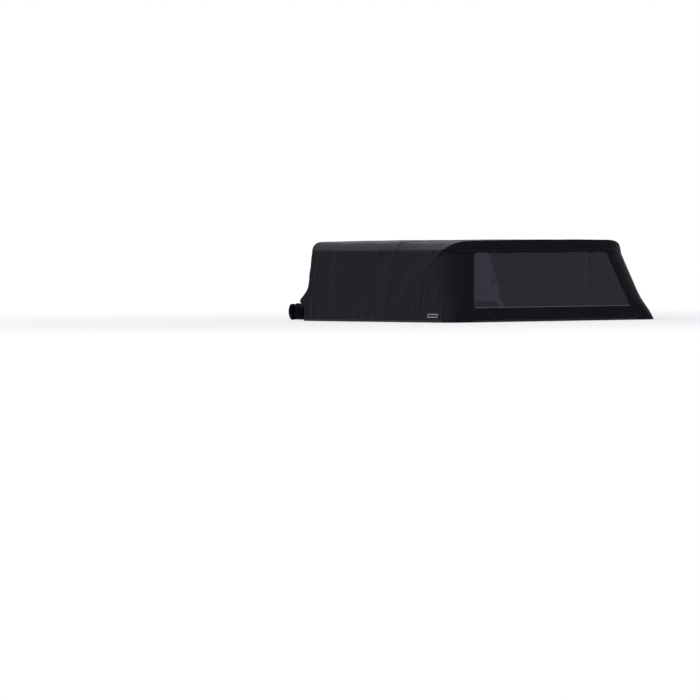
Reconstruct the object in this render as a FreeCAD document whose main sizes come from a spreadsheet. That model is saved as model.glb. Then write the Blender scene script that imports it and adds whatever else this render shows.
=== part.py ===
import FreeCAD, Part
import math
import os

import Sketcher

# Folding soft canopy for an open load bed.
# +X is right, +Y is forward, +Z is up, and Z = 0 is the underside of the rails.
# Places along Y are first measured from the foot of the rear face, then moved
# so that Y = 0 is the middle of the whole canopy.

# Driving dimensions

DIMENSIONS = [
    # fabric shell
    ("foot_half_width", 887, "outside of the fabric at the rail underside"),
    ("side_inset", 122, "how far the eave seam stands inside the foot"),
    ("eave_height", 503, "eave seam above the rail underside"),
    ("roof_rise", 64, "top of the roof above the eave seam"),
    ("crown_half_width", 600, "half width of the gently crowned part of the roof"),
    ("crown_rise", 9, "height of the crown over that half width"),
    ("shoulder_radius", 80, "round between roof and side"),
    ("side_length", 1900, "rear foot to front foot of the fabric"),
    ("rear_rake", 20.7, "lean of the rear face from upright, degrees"),
    ("front_rake", 9, "lean of the front edge from upright, degrees"),
    ("corner_foot_radius", 95, "plan radius of the rear corner at the foot"),
    ("corner_knee_height", 163, "height where the corner has widened"),
    ("corner_knee_radius", 180, "plan radius of the rear corner at that height"),
    ("corner_eave_radius", 190, "plan radius of the rear corner at the eave"),
    ("fabric", 2, "thickness of the coated fabric"),
    ("foot_clearance", 2, "fabric edge above the rail underside"),
    ("fit_gap", 0.3, "clearance between neighbouring pieces"),
    # side curtains and their zips
    ("front_border_width", 32, "front edge to the front side zip"),
    ("corner_margin", 5, "flat fabric of a rear corner ahead of its round"),
    ("corner_zip_depth", 104, "rear face to the rear side zip"),
    ("flare_height", 230, "height where the front border starts to flare"),
    ("flare_tip_height", 145, "height of the flare's tip"),
    ("flare_reach", 105, "how far the tip stands ahead of the foot"),
    ("flare_end_height", 100, "height where the flare ends"),
    ("flare_end_reach", 35, "how far its end stands ahead of the foot"),
    ("border_foot_reach", 5, "how far the border's foot reaches ahead"),
    ("zip_width", 10, "width of a closed zip"),
    ("zip_thickness", 1.2, "how far a zip stands off the fabric"),
    # rear curtain and window
    ("rear_zip_foot_inset", 182, "side face to the rear zip at the foot"),
    ("rear_zip_eave_inset", 195, "side face to the rear zip at the eave"),
    ("window_bottom", 102, "height of the window's lower edge"),
    ("window_drop", 14, "fabric between the eave and the window's upper edge"),
    ("window_margin", 12, "fabric between window and rear zip"),
    ("window_radius", 32, "round at the window's upper corners"),
    ("window_thickness", 1.2, "thickness of the clear sheet"),
    # hems, buckles, straps and labels
    ("hem_height", 13, "height of the hem band at the foot"),
    ("hem_thickness", 1.2, "how far the hem band stands off the fabric"),
    ("buckle_width", 24, "width of a small strap buckle"),
    ("buckle_height", 15, "height of a small strap buckle"),
    ("buckle_thickness", 6, "thickness of a small strap buckle"),
    ("buckle_drop", 1, "eave seam to the top of a buckle"),
    ("first_buckle", 402, "rearmost side buckle from the rear foot"),
    ("last_buckle", 140, "front side buckle from the fabric's front foot"),
    ("rear_strap_place", 395, "rear strap from the centre line"),
    ("rear_strap_width", 22, "width of the rear strap webbing"),
    ("rear_strap_length", 200, "free length of the rear strap"),
    ("strap_end_width", 36, "width of the strap's end fitting"),
    ("strap_end_height", 42, "height of the strap's end fitting"),
    ("strap_end_thickness", 8, "thickness of the strap's end fitting"),
    ("label_length", 150, "length of the blank label"),
    ("label_height", 30, "height of the blank label"),
    ("label_place", 245, "middle of the label from the rear foot"),
    ("label_rise", 47, "middle of the label above the rail underside"),
    # bows and their fittings
    ("bow_diameter", 25, "outside of the bow tube"),
    ("bow_wall", 1.6, "wall of the bow tube"),
    ("webbing", 1.5, "thickness of webbing"),
    ("pivot_height", 52, "bow pivots above the rail underside"),
    ("bow_foot_length", 17, "bow tube below its pivot"),
    ("rear_bow_bend", 175, "bend of the rear bow's shoulders"),
    ("middle_bow_place", 883, "middle bow from the rear foot"),
    ("rear_pivot_place", 830, "rear bow's pivot from the rear foot"),
    ("front_bow_inset", 26, "front bow behind the fabric's front edge"),
    ("roof_strap_place", 380, "inner roof strap from the centre line"),
    ("roof_strap_width", 40, "width of an inner roof strap"),
    ("bracket_plate", 4, "thickness of the bow brackets"),
    ("bracket_height", 74, "top of the bow brackets"),
    ("bracket_margin", 34, "bracket past its pivots, each way"),
    ("bolt_diameter", 8, "bow bolt shank"),
    ("bolt_head", 14, "bow bolt head diameter"),
    ("bolt_head_height", 5, "bow bolt head height"),
    # rails and bars
    ("rail_width", 58, "width of a side rail's base"),
    ("rail_base", 4, "thickness of a side rail's base"),
    ("rail_web", 3, "thickness of the rail's webs"),
    ("rail_height", 29, "height of a side rail"),
    ("rail_lip", 12, "height of the rail's inner lip"),
    ("rail_bolt_inset", 24, "bolt holes from the rail's inner edge"),
    ("rail_bolt_radius", 4.5, "radius of the rail's bolt holes"),
    ("rear_bolt_place", 300, "rear bolt holes from the rear foot"),
    ("front_bolt_inset", 200, "front bolt holes from the rails' front ends"),
    ("bar_depth", 30, "rear and front bar, front to back"),
    ("bar_height", 22, "rear and front bar, height"),
    ("bar_wall", 2, "wall of the rear and front bar"),
    ("corner_plate", 12, "thickness of a rear corner bracket"),
    ("corner_inner_radius", 26, "inside of a rear corner bracket"),
    # front curtain, rolled down and tied
    ("roll_radius", 62, "rolled front curtain"),
    ("roll_end_inset", 14, "roll's end inside the foot's half width"),
    ("roll_ahead", 185, "roll's middle ahead of the rails' front ends"),
    ("tie_width", 28, "width of a tie round the roll"),
    ("inner_tie_place", 280, "inner ties from the centre line"),
    ("outer_tie_inset", 41, "outer ties from the roll's ends"),
]

doc = FreeCAD.newDocument("SoftCanopy")
sheet = doc.addObject("Spreadsheet::Sheet", "Sizes")
for row, (alias, number, meaning) in enumerate(DIMENSIONS, start=1):
    sheet.set(f"A{row}", alias)
    sheet.set(f"B{row}", str(number))
    sheet.set(f"C{row}", meaning)
    sheet.setAlias(f"B{row}", alias)
doc.recompute()


class Size:
    """A size with its sheet expression and its present value."""

    def __init__(self, text, value):
        self.text = text
        self.value = float(value)

    def _join(self, sign, other, value, swap=False):
        other_text = other.text if isinstance(other, Size) else repr(other)
        first, second = (other_text, self.text) if swap else (self.text, other_text)
        return Size(f"({first} {sign} {second})", value)

    def __add__(self, other):
        return self._join("+", other, self.value + number_of(other))

    def __radd__(self, other):
        return self._join("+", other, number_of(other) + self.value, swap=True)

    def __sub__(self, other):
        return self._join("-", other, self.value - number_of(other))

    def __rsub__(self, other):
        return self._join("-", other, number_of(other) - self.value, swap=True)

    def __mul__(self, other):
        return self._join("*", other, self.value * number_of(other))

    def __rmul__(self, other):
        return self._join("*", other, number_of(other) * self.value, swap=True)

    def __truediv__(self, other):
        return self._join("/", other, self.value / number_of(other))

    def __rtruediv__(self, other):
        return self._join("/", other, number_of(other) / self.value, swap=True)

    def __neg__(self):
        return Size(f"(-1 * {self.text})", -self.value)


def number_of(item):
    """The present value of a Size or a plain number."""
    return item.value if isinstance(item, Size) else float(item)


def text_of(item):
    """The sheet expression of a Size or a plain number."""
    return item.text if isinstance(item, Size) else repr(float(item))


def tangent(angle):
    """Tangent of an angle in degrees."""
    return Size(f"tan({angle.text})", math.tan(math.radians(angle.value)))


def cosine(angle):
    """Cosine of an angle in degrees."""
    return Size(f"cos({angle.text})", math.cos(math.radians(angle.value)))


def slope_angle(rise, run):
    """Angle in degrees whose tangent is rise over run."""
    value = math.degrees(math.atan2(number_of(rise), number_of(run)))
    return Size(f"(atan2({text_of(rise)}; {text_of(run)}) / 1 deg)", value)


class Named:
    """Every driving dimension as an attribute."""


for alias, number, _ in DIMENSIONS:
    setattr(Named, alias, Size(f"Sizes.{alias}", number))

# Derived sizes

SIDE_LEAN = slope_angle(Named.side_inset, Named.eave_height)
SIDE_SLOPE = tangent(SIDE_LEAN)
SIDE_STRETCH = 1 / cosine(SIDE_LEAN)
REAR_SLOPE = tangent(Named.rear_rake)
REAR_STRETCH = 1 / cosine(Named.rear_rake)
FRONT_SLOPE = tangent(Named.front_rake)
CROWN_HEIGHT = Named.eave_height + Named.roof_rise
ROLL_PLACE = Named.side_length + Named.roll_ahead
ROLL_HALF_LENGTH = Named.foot_half_width - Named.roll_end_inset
ROLL_REACH = ROLL_PLACE + Named.roll_radius + Named.fit_gap + Named.webbing
HEM_REACH = Named.foot_clearance * REAR_SLOPE - Named.hem_thickness / REAR_STRETCH
MIDDLE = (ROLL_REACH + HEM_REACH) / 2
BOW_RADIUS = Named.bow_diameter / 2
BOW_TOP = CROWN_HEIGHT - Named.fabric - Named.webbing - 2 * Named.fit_gap
SIDES = (("left", -1), ("right", 1))
BUCKLES_PER_SIDE = 3
CORNER_STEPS = 4


def wall_x(height, depth):
    """Half width at a height, a depth inside the outer face of the side."""
    return Named.foot_half_width - height * SIDE_SLOPE - depth * SIDE_STRETCH


def rear_y(height, depth=0):
    """Place of the rear face at a height, a depth inside its outer face."""
    return height * REAR_SLOPE + depth * REAR_STRETCH


def front_y(height):
    """Place of the front edge at a height."""
    return Named.side_length + height * FRONT_SLOPE


def rear_zip_x(height):
    """Half width between the rear zips at a height."""
    widening = (Named.rear_zip_eave_inset - Named.rear_zip_foot_inset) / Named.eave_height
    return Named.foot_half_width - height * SIDE_SLOPE - Named.rear_zip_foot_inset - height * widening


def corner_steps():
    """Heights and plan radii between which the rear corners run straight."""
    clear = Named.corner_foot_radius - rear_y(Named.rail_height)
    return [
        (0, Named.corner_foot_radius),
        (Named.rail_height, clear),
        (Named.corner_knee_height, Named.corner_knee_radius),
        (Named.eave_height, Named.corner_eave_radius),
    ]


def corner_radius(height):
    """Plan radius of the rear corners at a height."""
    steps = corner_steps()
    for (low, first), (high, last) in zip(steps, steps[1:]):
        growth = (last - first) / (high - low)
        radius = first + (height - low) * growth
        if number_of(height) <= number_of(high):
            break
    return radius


def corner_heights():
    """Heights of the corner's outlines, from the fabric's edge to the eave."""
    return [Named.foot_clearance] + [height for height, _ in corner_steps()[1:]]


def corner_front_y(height):
    """Place where a rear corner meets the side curtain at a height."""
    return rear_y(height) + corner_radius(height) + Named.corner_margin


# Helpers for bodies, sketches and features

def new_body(name, x=0, y=0, z=0, axis=(0, 1, 0), angle=0):
    """A body whose place is given from the rear foot, turned about one axis."""
    body = doc.addObject("PartDesign::Body", name)
    body.Label = name
    place_y = y - MIDDLE
    place = f"vector({text_of(x)}; {text_of(place_y)}; {text_of(z)})"
    spin = f"rotation(vector({axis[0]}; {axis[1]}; {axis[2]}); {text_of(angle)})"
    body.setExpression("Placement", f"placement({place}; {spin})")
    return body


def attach(sketch, plane_role):
    """Puts a sketch on one of its own body's origin planes."""
    body = sketch.getParentGeoFeatureGroup()
    plane = [item for item in body.Origin.OriginFeatures if item.Role == plane_role][0]
    sketch.AttachmentSupport = (plane, [""])
    sketch.MapMode = "FlatFace"


def new_sketch(body, name, plane_role):
    """An empty sketch on an origin plane of a body."""
    sketch = body.newObject("Sketcher::SketchObject", f"{body.Name}_{name}")
    attach(sketch, plane_role)
    return sketch


def bind(sketch, kind, *place, size):
    """Adds a constraint with a datum and ties it to its size."""
    index = sketch.addConstraint(Sketcher.Constraint(kind, *place, number_of(size)))
    sketch.setExpression(f"Constraints[{index}]", text_of(size))


def vector(point):
    """A sketch point as a plain vector."""
    return FreeCAD.Vector(number_of(point[0]), number_of(point[1]), 0)


def draw_polygon(sketch, points):
    """Draws a closed outline with every corner tied to its sizes."""
    first = sketch.GeometryCount
    count = len(points)
    for index in range(count):
        start = vector(points[index])
        end = vector(points[(index + 1) % count])
        sketch.addGeometry(Part.LineSegment(start, end))
    for index in range(count):
        after = first + (index + 1) % count
        sketch.addConstraint(Sketcher.Constraint("Coincident", first + index, 2, after, 1))
    for index, (across, up) in enumerate(points):
        bind(sketch, "DistanceX", -1, 1, first + index, 1, size=across)
        bind(sketch, "DistanceY", -1, 1, first + index, 1, size=up)


def draw_circle(sketch, centre, radius):
    """Draws a circle tied to its centre and radius."""
    index = sketch.addGeometry(
        Part.Circle(vector(centre), FreeCAD.Vector(0, 0, 1), number_of(radius)))
    bind(sketch, "DistanceX", -1, 1, index, 3, size=centre[0])
    bind(sketch, "DistanceY", -1, 1, index, 3, size=centre[1])
    bind(sketch, "Radius", index, size=radius)


def draw_rounded(sketch, points, radii, closed):
    """Draws an outline of straight runs joined by tangent arcs.

    Each corner is a construction point tied to its sizes. A corner with a
    radius gets an arc that touches both of its runs.
    """
    count = len(points)
    spots = [vector(point) for point in points]
    run_count = count if closed else count - 1
    ends = []
    for index in range(run_count):
        start, end = spots[index], spots[(index + 1) % count]
        along = (end - start).normalize()
        cuts = []
        for corner in (index, (index + 1) % count):
            cuts.append(tangent_length(spots, corner, radii[corner]))
        ends.append((start + along * cuts[0], end - along * cuts[1]))
    runs = [sketch.addGeometry(Part.LineSegment(*pair)) for pair in ends]
    for corner in range(count):
        has_both = closed or 0 < corner < count - 1
        before = runs[(corner - 1) % run_count] if has_both or corner else None
        after = runs[corner % run_count] if closed or corner < count - 1 else None
        if radii[corner] is None:
            end_run, end_point = (after, 1) if after is not None else (before, 2)
            if has_both:
                sketch.addConstraint(Sketcher.Constraint("Coincident", before, 2, after, 1))
            bind(sketch, "DistanceX", -1, 1, end_run, end_point, size=points[corner][0])
            bind(sketch, "DistanceY", -1, 1, end_run, end_point, size=points[corner][1])
            continue
        mark = sketch.addGeometry(Part.Point(spots[corner]), True)
        bind(sketch, "DistanceX", -1, 1, mark, 1, size=points[corner][0])
        bind(sketch, "DistanceY", -1, 1, mark, 1, size=points[corner][1])
        sketch.addConstraint(Sketcher.Constraint("PointOnObject", mark, 1, before))
        sketch.addConstraint(Sketcher.Constraint("PointOnObject", mark, 1, after))
        start = sketch.Geometry[before].EndPoint
        end = sketch.Geometry[after].StartPoint
        arc_index, turns_left = add_arc(sketch, start, spots[corner], end, radii[corner])
        first_end, last_end = (1, 2) if turns_left else (2, 1)
        sketch.addConstraint(Sketcher.Constraint("Tangent", before, 2, arc_index, first_end))
        sketch.addConstraint(Sketcher.Constraint("Tangent", arc_index, last_end, after, 1))
        bind(sketch, "Radius", arc_index, size=radii[corner])


def tangent_length(spots, corner, radius):
    """How much a round takes from each of its two runs."""
    if radius is None:
        return 0.0
    before = spots[corner] - spots[corner - 1]
    after = spots[(corner + 1) % len(spots)] - spots[corner]
    return number_of(radius) * math.tan(before.getAngle(after) / 2)


def add_arc(sketch, start, corner, end, radius):
    """Adds the arc from start to end that rounds a corner."""
    middle = (start + end) / 2
    inward = (middle - corner).normalize()
    reach = math.hypot(number_of(radius), (start - corner).Length)
    centre = corner + inward * reach
    turns_left = (corner - start).cross(end - corner).z > 0
    angles = [math.atan2(spot.y - centre.y, spot.x - centre.x) for spot in (start, end)]
    if not turns_left:
        angles.reverse()
    circle = Part.Circle(centre, FreeCAD.Vector(0, 0, 1), number_of(radius))
    index = sketch.addGeometry(Part.ArcOfCircle(circle, angles[0], angles[1]))
    return index, turns_left


def add_pad(body, sketch, length, reverse=False, midplane=False):
    """Pads a sketch by a length tied to its size."""
    pad = body.newObject("PartDesign::Pad", f"{sketch.Name}_pad")
    pad.Profile = sketch
    pad.setExpression("Length", text_of(length))
    pad.Reversed = reverse
    if midplane:
        pad.SideType = "Symmetric"
    sketch.Visibility = False
    return pad


def check_cut(body, tool_name):
    """Stops when a pocket has removed nothing."""
    doc.recompute()
    tip = body.Tip
    before = tip.BaseFeature.Shape.Volume
    if not tip.Shape.Volume < before - 1e-3:
        raise ValueError(f"{tool_name} cuts nothing from {body.Label}")


def add_pocket(body, sketch):
    """Cuts a sketch through the whole body, both ways."""
    pocket = body.newObject("PartDesign::Pocket", f"{sketch.Name}_pocket")
    pocket.Profile = sketch
    pocket.Type = "ThroughAll"
    pocket.SideType = "Symmetric"
    sketch.Visibility = False
    check_cut(body, sketch.Name)
    return pocket


def side_body(name, sign):
    """A body whose local YZ plane is the outer face of one side."""
    return new_body(name, x=sign * Named.foot_half_width, axis=(0, -sign, 0), angle=SIDE_LEAN)


def side_point(place, height):
    """A point of the leaning side plane, from its true height."""
    return (place, height * SIDE_STRETCH)


def add_side_plate(body, sign, points, thickness, outward=False, name="outline"):
    """Pads an outline on a side's plane, inward or outward."""
    sketch = new_sketch(body, name, "YZ_Plane")
    draw_polygon(sketch, points)
    inward_is_plus = sign < 0
    return add_pad(body, sketch, thickness, reverse=inward_is_plus == outward)


def rear_body(name):
    """A body whose local XZ plane is the outer face of the rear."""
    return new_body(name, axis=(-1, 0, 0), angle=Named.rear_rake)


def rear_point(across, height):
    """A point of the leaning rear plane, from its true height."""
    return (across, height * REAR_STRETCH)


# Side curtains, borders, zips and hems

def make_side_curtain(name, sign):
    """The roll-up side between its two zips."""
    body = side_body(name, sign)
    low, high = Named.foot_clearance, Named.eave_height
    points = [
        side_point(front_y(low) - Named.front_border_width, low),
        side_point(front_y(high) - Named.front_border_width, high),
    ]
    points += [side_point(corner_front_y(z), z) for z in reversed(corner_heights())]
    add_side_plate(body, sign, points, Named.fabric)


def make_front_border(name, sign):
    """The fixed strip ahead of the front zip, flared at its foot."""
    body = side_body(name, sign)
    low, high = Named.foot_clearance, Named.eave_height
    foot = Named.side_length
    points = [
        side_point(front_y(low) - Named.front_border_width, low),
        side_point(foot + Named.border_foot_reach, low),
        side_point(foot + Named.flare_end_reach, Named.flare_end_height),
        side_point(foot + Named.flare_reach, Named.flare_tip_height),
        side_point(front_y(Named.flare_height), Named.flare_height),
        side_point(front_y(high), high),
        side_point(front_y(high) - Named.front_border_width, high),
    ]
    add_side_plate(body, sign, points, Named.fabric)


def zip_points(place_at, low, high):
    """A narrow leaning band along a zip line."""
    half = Named.zip_width / 2
    return [
        side_point(place_at(low) - half, low),
        side_point(place_at(low) + half, low),
        side_point(place_at(high) + half, high),
        side_point(place_at(high) - half, high),
    ]


def make_front_side_zip(name, sign):
    """The zip between the side curtain and the front border."""
    body = side_body(name, sign)
    low = Named.foot_clearance + Named.hem_height + Named.fit_gap
    high = Named.eave_height - Named.fit_gap
    points = zip_points(lambda z: front_y(z) - Named.front_border_width, low, high)
    add_side_plate(body, sign, points, Named.zip_thickness, True)


def corner_spot(sign, height, depth, proud):
    """A point on the outer face of a rear corner.

    Args:
        sign: -1 for left, 1 for right.
        height: height above the rail underside, a plain number.
        depth: distance ahead of the rear face.
        proud: how far the point stands off the fabric.
    """
    radius = corner_radius(height).value
    centre = (wall_x(height, 0).value - radius, rear_y(height).value + radius)
    lag = (radius - depth) / radius
    turn = math.asin(lag) if lag > 0 else 0.0
    reach = radius + proud
    y = centre[1] - reach * math.sin(turn) if lag > 0 else centre[1] - radius + depth
    return FreeCAD.Vector(sign * (centre[0] + reach * math.cos(turn)), y, height)


def make_rear_side_zip(name, sign):
    """The zip that climbs the round of a rear corner."""
    low = (Named.foot_clearance + Named.hem_height + Named.fit_gap).value
    high = (Named.eave_height - Named.fit_gap).value
    bends = [Named.rail_height.value, Named.corner_knee_height.value]
    knots = [low] + bends + [high]
    half = Named.zip_width.value / 2
    inner = 2 * Named.fit_gap.value
    outer = inner + Named.zip_thickness.value
    heights = [low]
    for start, end in zip(knots, knots[1:]):
        heights += [start + (end - start) * (step + 1) / CORNER_STEPS for step in range(CORNER_STEPS)]
    wires = []
    for height in heights:
        spots = [corner_spot(sign, height, Named.corner_zip_depth.value + shift, proud)
                 for shift, proud in ((-half, inner), (half, inner), (half, outer), (-half, outer))]
        wires.append(Part.makePolygon(spots + spots[:1]))
    add_shape(name, Part.makeLoft(wires, True, True))


def make_side_hem(name, sign):
    """The folded band along the foot of one side."""
    body = side_body(name, sign)
    low = Named.foot_clearance
    high = low + Named.hem_height
    points = [
        side_point(corner_front_y(low), low),
        side_point(Named.side_length, low),
        side_point(Named.side_length, high),
        side_point(corner_front_y(high), high),
    ]
    add_side_plate(body, sign, points, Named.hem_thickness, True)


def make_eave_buckles(name, sign):
    """Three small buckles of the roll-up straps below the eave."""
    body = side_body(name, sign)
    body.AllowCompound = True
    high = Named.eave_height - Named.buckle_drop
    low = high - Named.buckle_height
    half = Named.buckle_width / 2
    run = Named.side_length - Named.last_buckle - Named.first_buckle
    for index in range(BUCKLES_PER_SIDE):
        place = Named.first_buckle + index * run / (BUCKLES_PER_SIDE - 1)
        points = [
            side_point(place - half, low),
            side_point(place + half, low),
            side_point(place + half, high),
            side_point(place - half, high),
        ]
        add_side_plate(body, sign, points, Named.buckle_thickness, True, f"buckle_{index + 1}")


def make_label(name, sign):
    """A blank sewn label low on the side."""
    body = side_body(name, sign)
    half_length = Named.label_length / 2
    half_height = Named.label_height / 2
    points = [
        side_point(Named.label_place - half_length, Named.label_rise - half_height),
        side_point(Named.label_place + half_length, Named.label_rise - half_height),
        side_point(Named.label_place + half_length, Named.label_rise + half_height),
        side_point(Named.label_place - half_length, Named.label_rise + half_height),
    ]
    add_side_plate(body, sign, points, Named.hem_thickness, True)


# Rear curtain, window and straps

def rear_trapezoid(low, high, margin):
    """An upright-sided outline between the rear zips, a margin inside them."""
    return [
        rear_point(-(rear_zip_x(low) - margin), low),
        rear_point(rear_zip_x(low) - margin, low),
        rear_point(rear_zip_x(high) - margin, high),
        rear_point(-(rear_zip_x(high) - margin), high),
    ]


def window_outline(gap):
    """The window's outline, grown outward by a gap, with its corner rounds."""
    points = rear_trapezoid(
        Named.window_bottom - gap, Named.eave_height - Named.window_drop + gap,
        Named.window_margin - gap)
    radius = Named.window_radius + gap
    return points, [None, None, radius, radius]


def make_rear_curtain():
    """The fabric frame round the window, from zip to zip."""
    body = rear_body("rear_curtain")
    sketch = new_sketch(body, "outline", "XZ_Plane")
    draw_polygon(sketch, rear_trapezoid(Named.foot_clearance, Named.eave_height, 0))
    add_pad(body, sketch, Named.fabric, reverse=True)
    hole = new_sketch(body, "window_hole", "XZ_Plane")
    draw_rounded(hole, *window_outline(Named.fit_gap), closed=True)
    add_pocket(body, hole)


def make_rear_window():
    """The tinted clear sheet of the rear curtain."""
    body = rear_body("rear_window")
    sketch = new_sketch(body, "outline", "XZ_Plane")
    draw_rounded(sketch, *window_outline(0), closed=True)
    add_pad(body, sketch, Named.window_thickness, reverse=True)


def make_rear_zips():
    """The two zips that join the rear curtain to the corners."""
    body = rear_body("rear_curtain_zips")
    body.AllowCompound = True
    low = Named.foot_clearance + Named.hem_height + Named.fit_gap
    high = Named.eave_height - Named.fit_gap
    for side, sign in SIDES:
        sketch = new_sketch(body, side, "XZ_Plane")
        half = Named.zip_width / 2
        draw_polygon(sketch, [
            rear_point(sign * (rear_zip_x(low) - half), low),
            rear_point(sign * (rear_zip_x(low) + half), low),
            rear_point(sign * (rear_zip_x(high) + half), high),
            rear_point(sign * (rear_zip_x(high) - half), high),
        ])
        add_pad(body, sketch, Named.zip_thickness)


def make_rear_hem():
    """The folded band along the foot of the rear curtain."""
    body = rear_body("rear_bottom_hem")
    sketch = new_sketch(body, "outline", "XZ_Plane")
    low = Named.foot_clearance
    draw_polygon(sketch, rear_trapezoid(low, low + Named.hem_height, 0))
    add_pad(body, sketch, Named.hem_thickness)


def make_strap_buckles():
    """Two small buckles that hang from the rear header."""
    body = rear_body("rear_strap_buckles")
    body.AllowCompound = True
    high = Named.eave_height - Named.fit_gap
    low = high - Named.buckle_height
    half = Named.buckle_width / 2
    for side, sign in SIDES:
        sketch = new_sketch(body, side, "XZ_Plane")
        draw_polygon(sketch, [
            rear_point(sign * (Named.rear_strap_place - half), low),
            rear_point(sign * (Named.rear_strap_place + half), low),
            rear_point(sign * (Named.rear_strap_place + half), high),
            rear_point(sign * (Named.rear_strap_place - half), high),
        ])
        add_pad(body, sketch, Named.buckle_thickness)


def make_rear_strap(name, sign):
    """A strap that hangs inside the window, with its end fitting."""
    top = Named.eave_height
    start_y = rear_y(top, Named.fabric) + Named.fit_gap
    body = new_body(name, x=sign * Named.rear_strap_place, y=start_y)
    bottom = top - Named.rear_strap_length
    webbing = new_sketch(body, "webbing", "XZ_Plane")
    half = Named.rear_strap_width / 2
    draw_polygon(webbing, [(-half, bottom), (half, bottom), (half, top), (-half, top)])
    add_pad(body, webbing, Named.webbing, reverse=True)
    fitting = new_sketch(body, "end_fitting", "XZ_Plane")
    half_end = Named.strap_end_width / 2
    low = bottom - Named.strap_end_height
    draw_polygon(fitting, [(-half_end, low), (half_end, low), (half_end, bottom), (-half_end, bottom)])
    add_pad(body, fitting, Named.strap_end_thickness, reverse=True)


# Curved fabric of the roof, the header and the rear corners

def solve_shoulder():
    """Centre and touching angles of the shoulder round, in millimetres."""
    lean = math.radians(SIDE_LEAN.value)
    foot = Named.foot_half_width.value
    radius = Named.shoulder_radius.value
    crown_radius = Named.crown_half_width.value ** 2 / (2 * Named.crown_rise.value)
    normal = (math.cos(lean), math.sin(lean))
    along = (-math.sin(lean), math.cos(lean))
    depth = foot * math.cos(lean) - radius
    base = (normal[0] * depth, normal[1] * depth)
    low_centre = CROWN_HEIGHT.value - crown_radius
    offset = (base[0], base[1] - low_centre)
    half = offset[0] * along[0] + offset[1] * along[1]
    rest = offset[0] ** 2 + offset[1] ** 2 - (crown_radius - radius) ** 2
    step = -half + math.sqrt(half ** 2 - rest)
    centre = (base[0] + along[0] * step, base[1] + along[1] * step)
    crown_tilt = math.atan2(centre[0], centre[1] - low_centre)
    return centre, lean, crown_tilt


def section_edges(depth):
    """Shoulder and crown arcs of the roof, a depth inside the outer face."""
    centre, lean, crown_tilt = solve_shoulder()
    radius = Named.shoulder_radius.value - depth
    low = (centre[0] + radius * math.cos(lean), centre[1] + radius * math.sin(lean))
    middle_angle = (lean + math.pi / 2 - crown_tilt) / 2
    middle = (centre[0] + radius * math.cos(middle_angle),
              centre[1] + radius * math.sin(middle_angle))
    high = (centre[0] + radius * math.sin(crown_tilt), centre[1] + radius * math.cos(crown_tilt))
    top = (0.0, CROWN_HEIGHT.value - depth)
    return low, middle, high, top


def section_face(depth):
    """The upright section inside the roof and sides, a depth inside the outer face."""
    def spot(point, side=1):
        return FreeCAD.Vector(side * point[0], 0, point[1])

    low, middle, high, top = section_edges(depth)
    floor = (wall_x(0, depth).value, 0.0)
    edges = [
        Part.LineSegment(spot(floor, -1), spot(low, -1)),
        Part.Arc(spot(low, -1), spot(middle, -1), spot(high, -1)),
        Part.Arc(spot(high, -1), spot(top), spot(high)),
        Part.Arc(spot(high), spot(middle), spot(low)),
        Part.LineSegment(spot(low), spot(floor)),
        Part.LineSegment(spot(floor), spot(floor, -1)),
    ]
    return Part.Face(Part.Wire([edge.toShape() for edge in edges]))


def side_view_prism(points):
    """A solid of a side-view outline, wide enough for the whole canopy."""
    half = Named.foot_half_width.value + Named.rail_width.value
    spots = [FreeCAD.Vector(-half, number_of(y), number_of(z)) for y, z in points]
    face = Part.Face(Part.makePolygon(spots + spots[:1]))
    return face.extrude(FreeCAD.Vector(2 * half, 0, 0))


def add_shape(name, shape):
    """Adds a shape made from the sheet's sizes, moved to the canopy's middle."""
    feature = doc.addObject("Part::Feature", name)
    feature.Label = name
    feature.Shape = shape
    feature.Placement = FreeCAD.Placement(
        FreeCAD.Vector(0, -MIDDLE.value, 0), FreeCAD.Rotation())


def plan_wire(height, depth, front):
    """The canopy's plan outline at a height, wide of its sides ahead of the corners."""
    radius = corner_radius(height).value - depth
    side = wall_x(height, 0).value - depth
    back = rear_y(height, 0).value + depth
    centre = (side - radius, back + radius)
    slant = radius * math.sqrt(0.5)
    wide = side + Named.rail_width.value

    def spot(x, y):
        return FreeCAD.Vector(x, y, height)

    def corner_arc(sign):
        return Part.Arc(spot(sign * side, centre[1]),
                        spot(sign * (centre[0] + slant), centre[1] - slant),
                        spot(sign * centre[0], back))

    outline = [
        Part.LineSegment(spot(-wide, front), spot(-wide, centre[1])),
        Part.LineSegment(spot(-wide, centre[1]), spot(-side, centre[1])),
        corner_arc(-1),
        Part.LineSegment(spot(-centre[0], back), spot(centre[0], back)),
        corner_arc(1),
        Part.LineSegment(spot(side, centre[1]), spot(wide, centre[1])),
        Part.LineSegment(spot(wide, centre[1]), spot(wide, front)),
        Part.LineSegment(spot(wide, front), spot(-wide, front)),
    ]
    return Part.Wire(Part.__sortEdges__([edge.toShape() for edge in outline]))


def cap_solid(depth, extra):
    """The space under the roof above the eave, a depth inside its outer face.

    Args:
        depth: inset from the outer face, a plain number.
        extra: how far it runs past the eave and the front edge.
    """
    low = Named.eave_height.value - extra
    high = (CROWN_HEIGHT + Named.roof_rise).value
    section = section_face(depth).extrude(FreeCAD.Vector(0, 2 * ROLL_REACH.value, 0))
    wires = [plan_wire(height, depth, front_y(height).value + extra) for height in (low, high)]
    return section.common(Part.makeLoft(wires, True, True))


def ridge_prism(behind):
    """Everything behind or ahead of the rear bow's plane, in side view."""
    top = CROWN_HEIGHT + Named.roof_rise
    low = Named.eave_height - Named.roof_rise
    ridge = rear_y(CROWN_HEIGHT, Named.fabric)
    slope = tangent(rear_bow_lean())
    edge = [(ridge + (CROWN_HEIGHT - z) * slope, z) for z in (low, top)]
    far = -ROLL_REACH if behind else 2 * ROLL_REACH
    return side_view_prism([edge[0], edge[1], (far, top), (far, low)])


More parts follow.
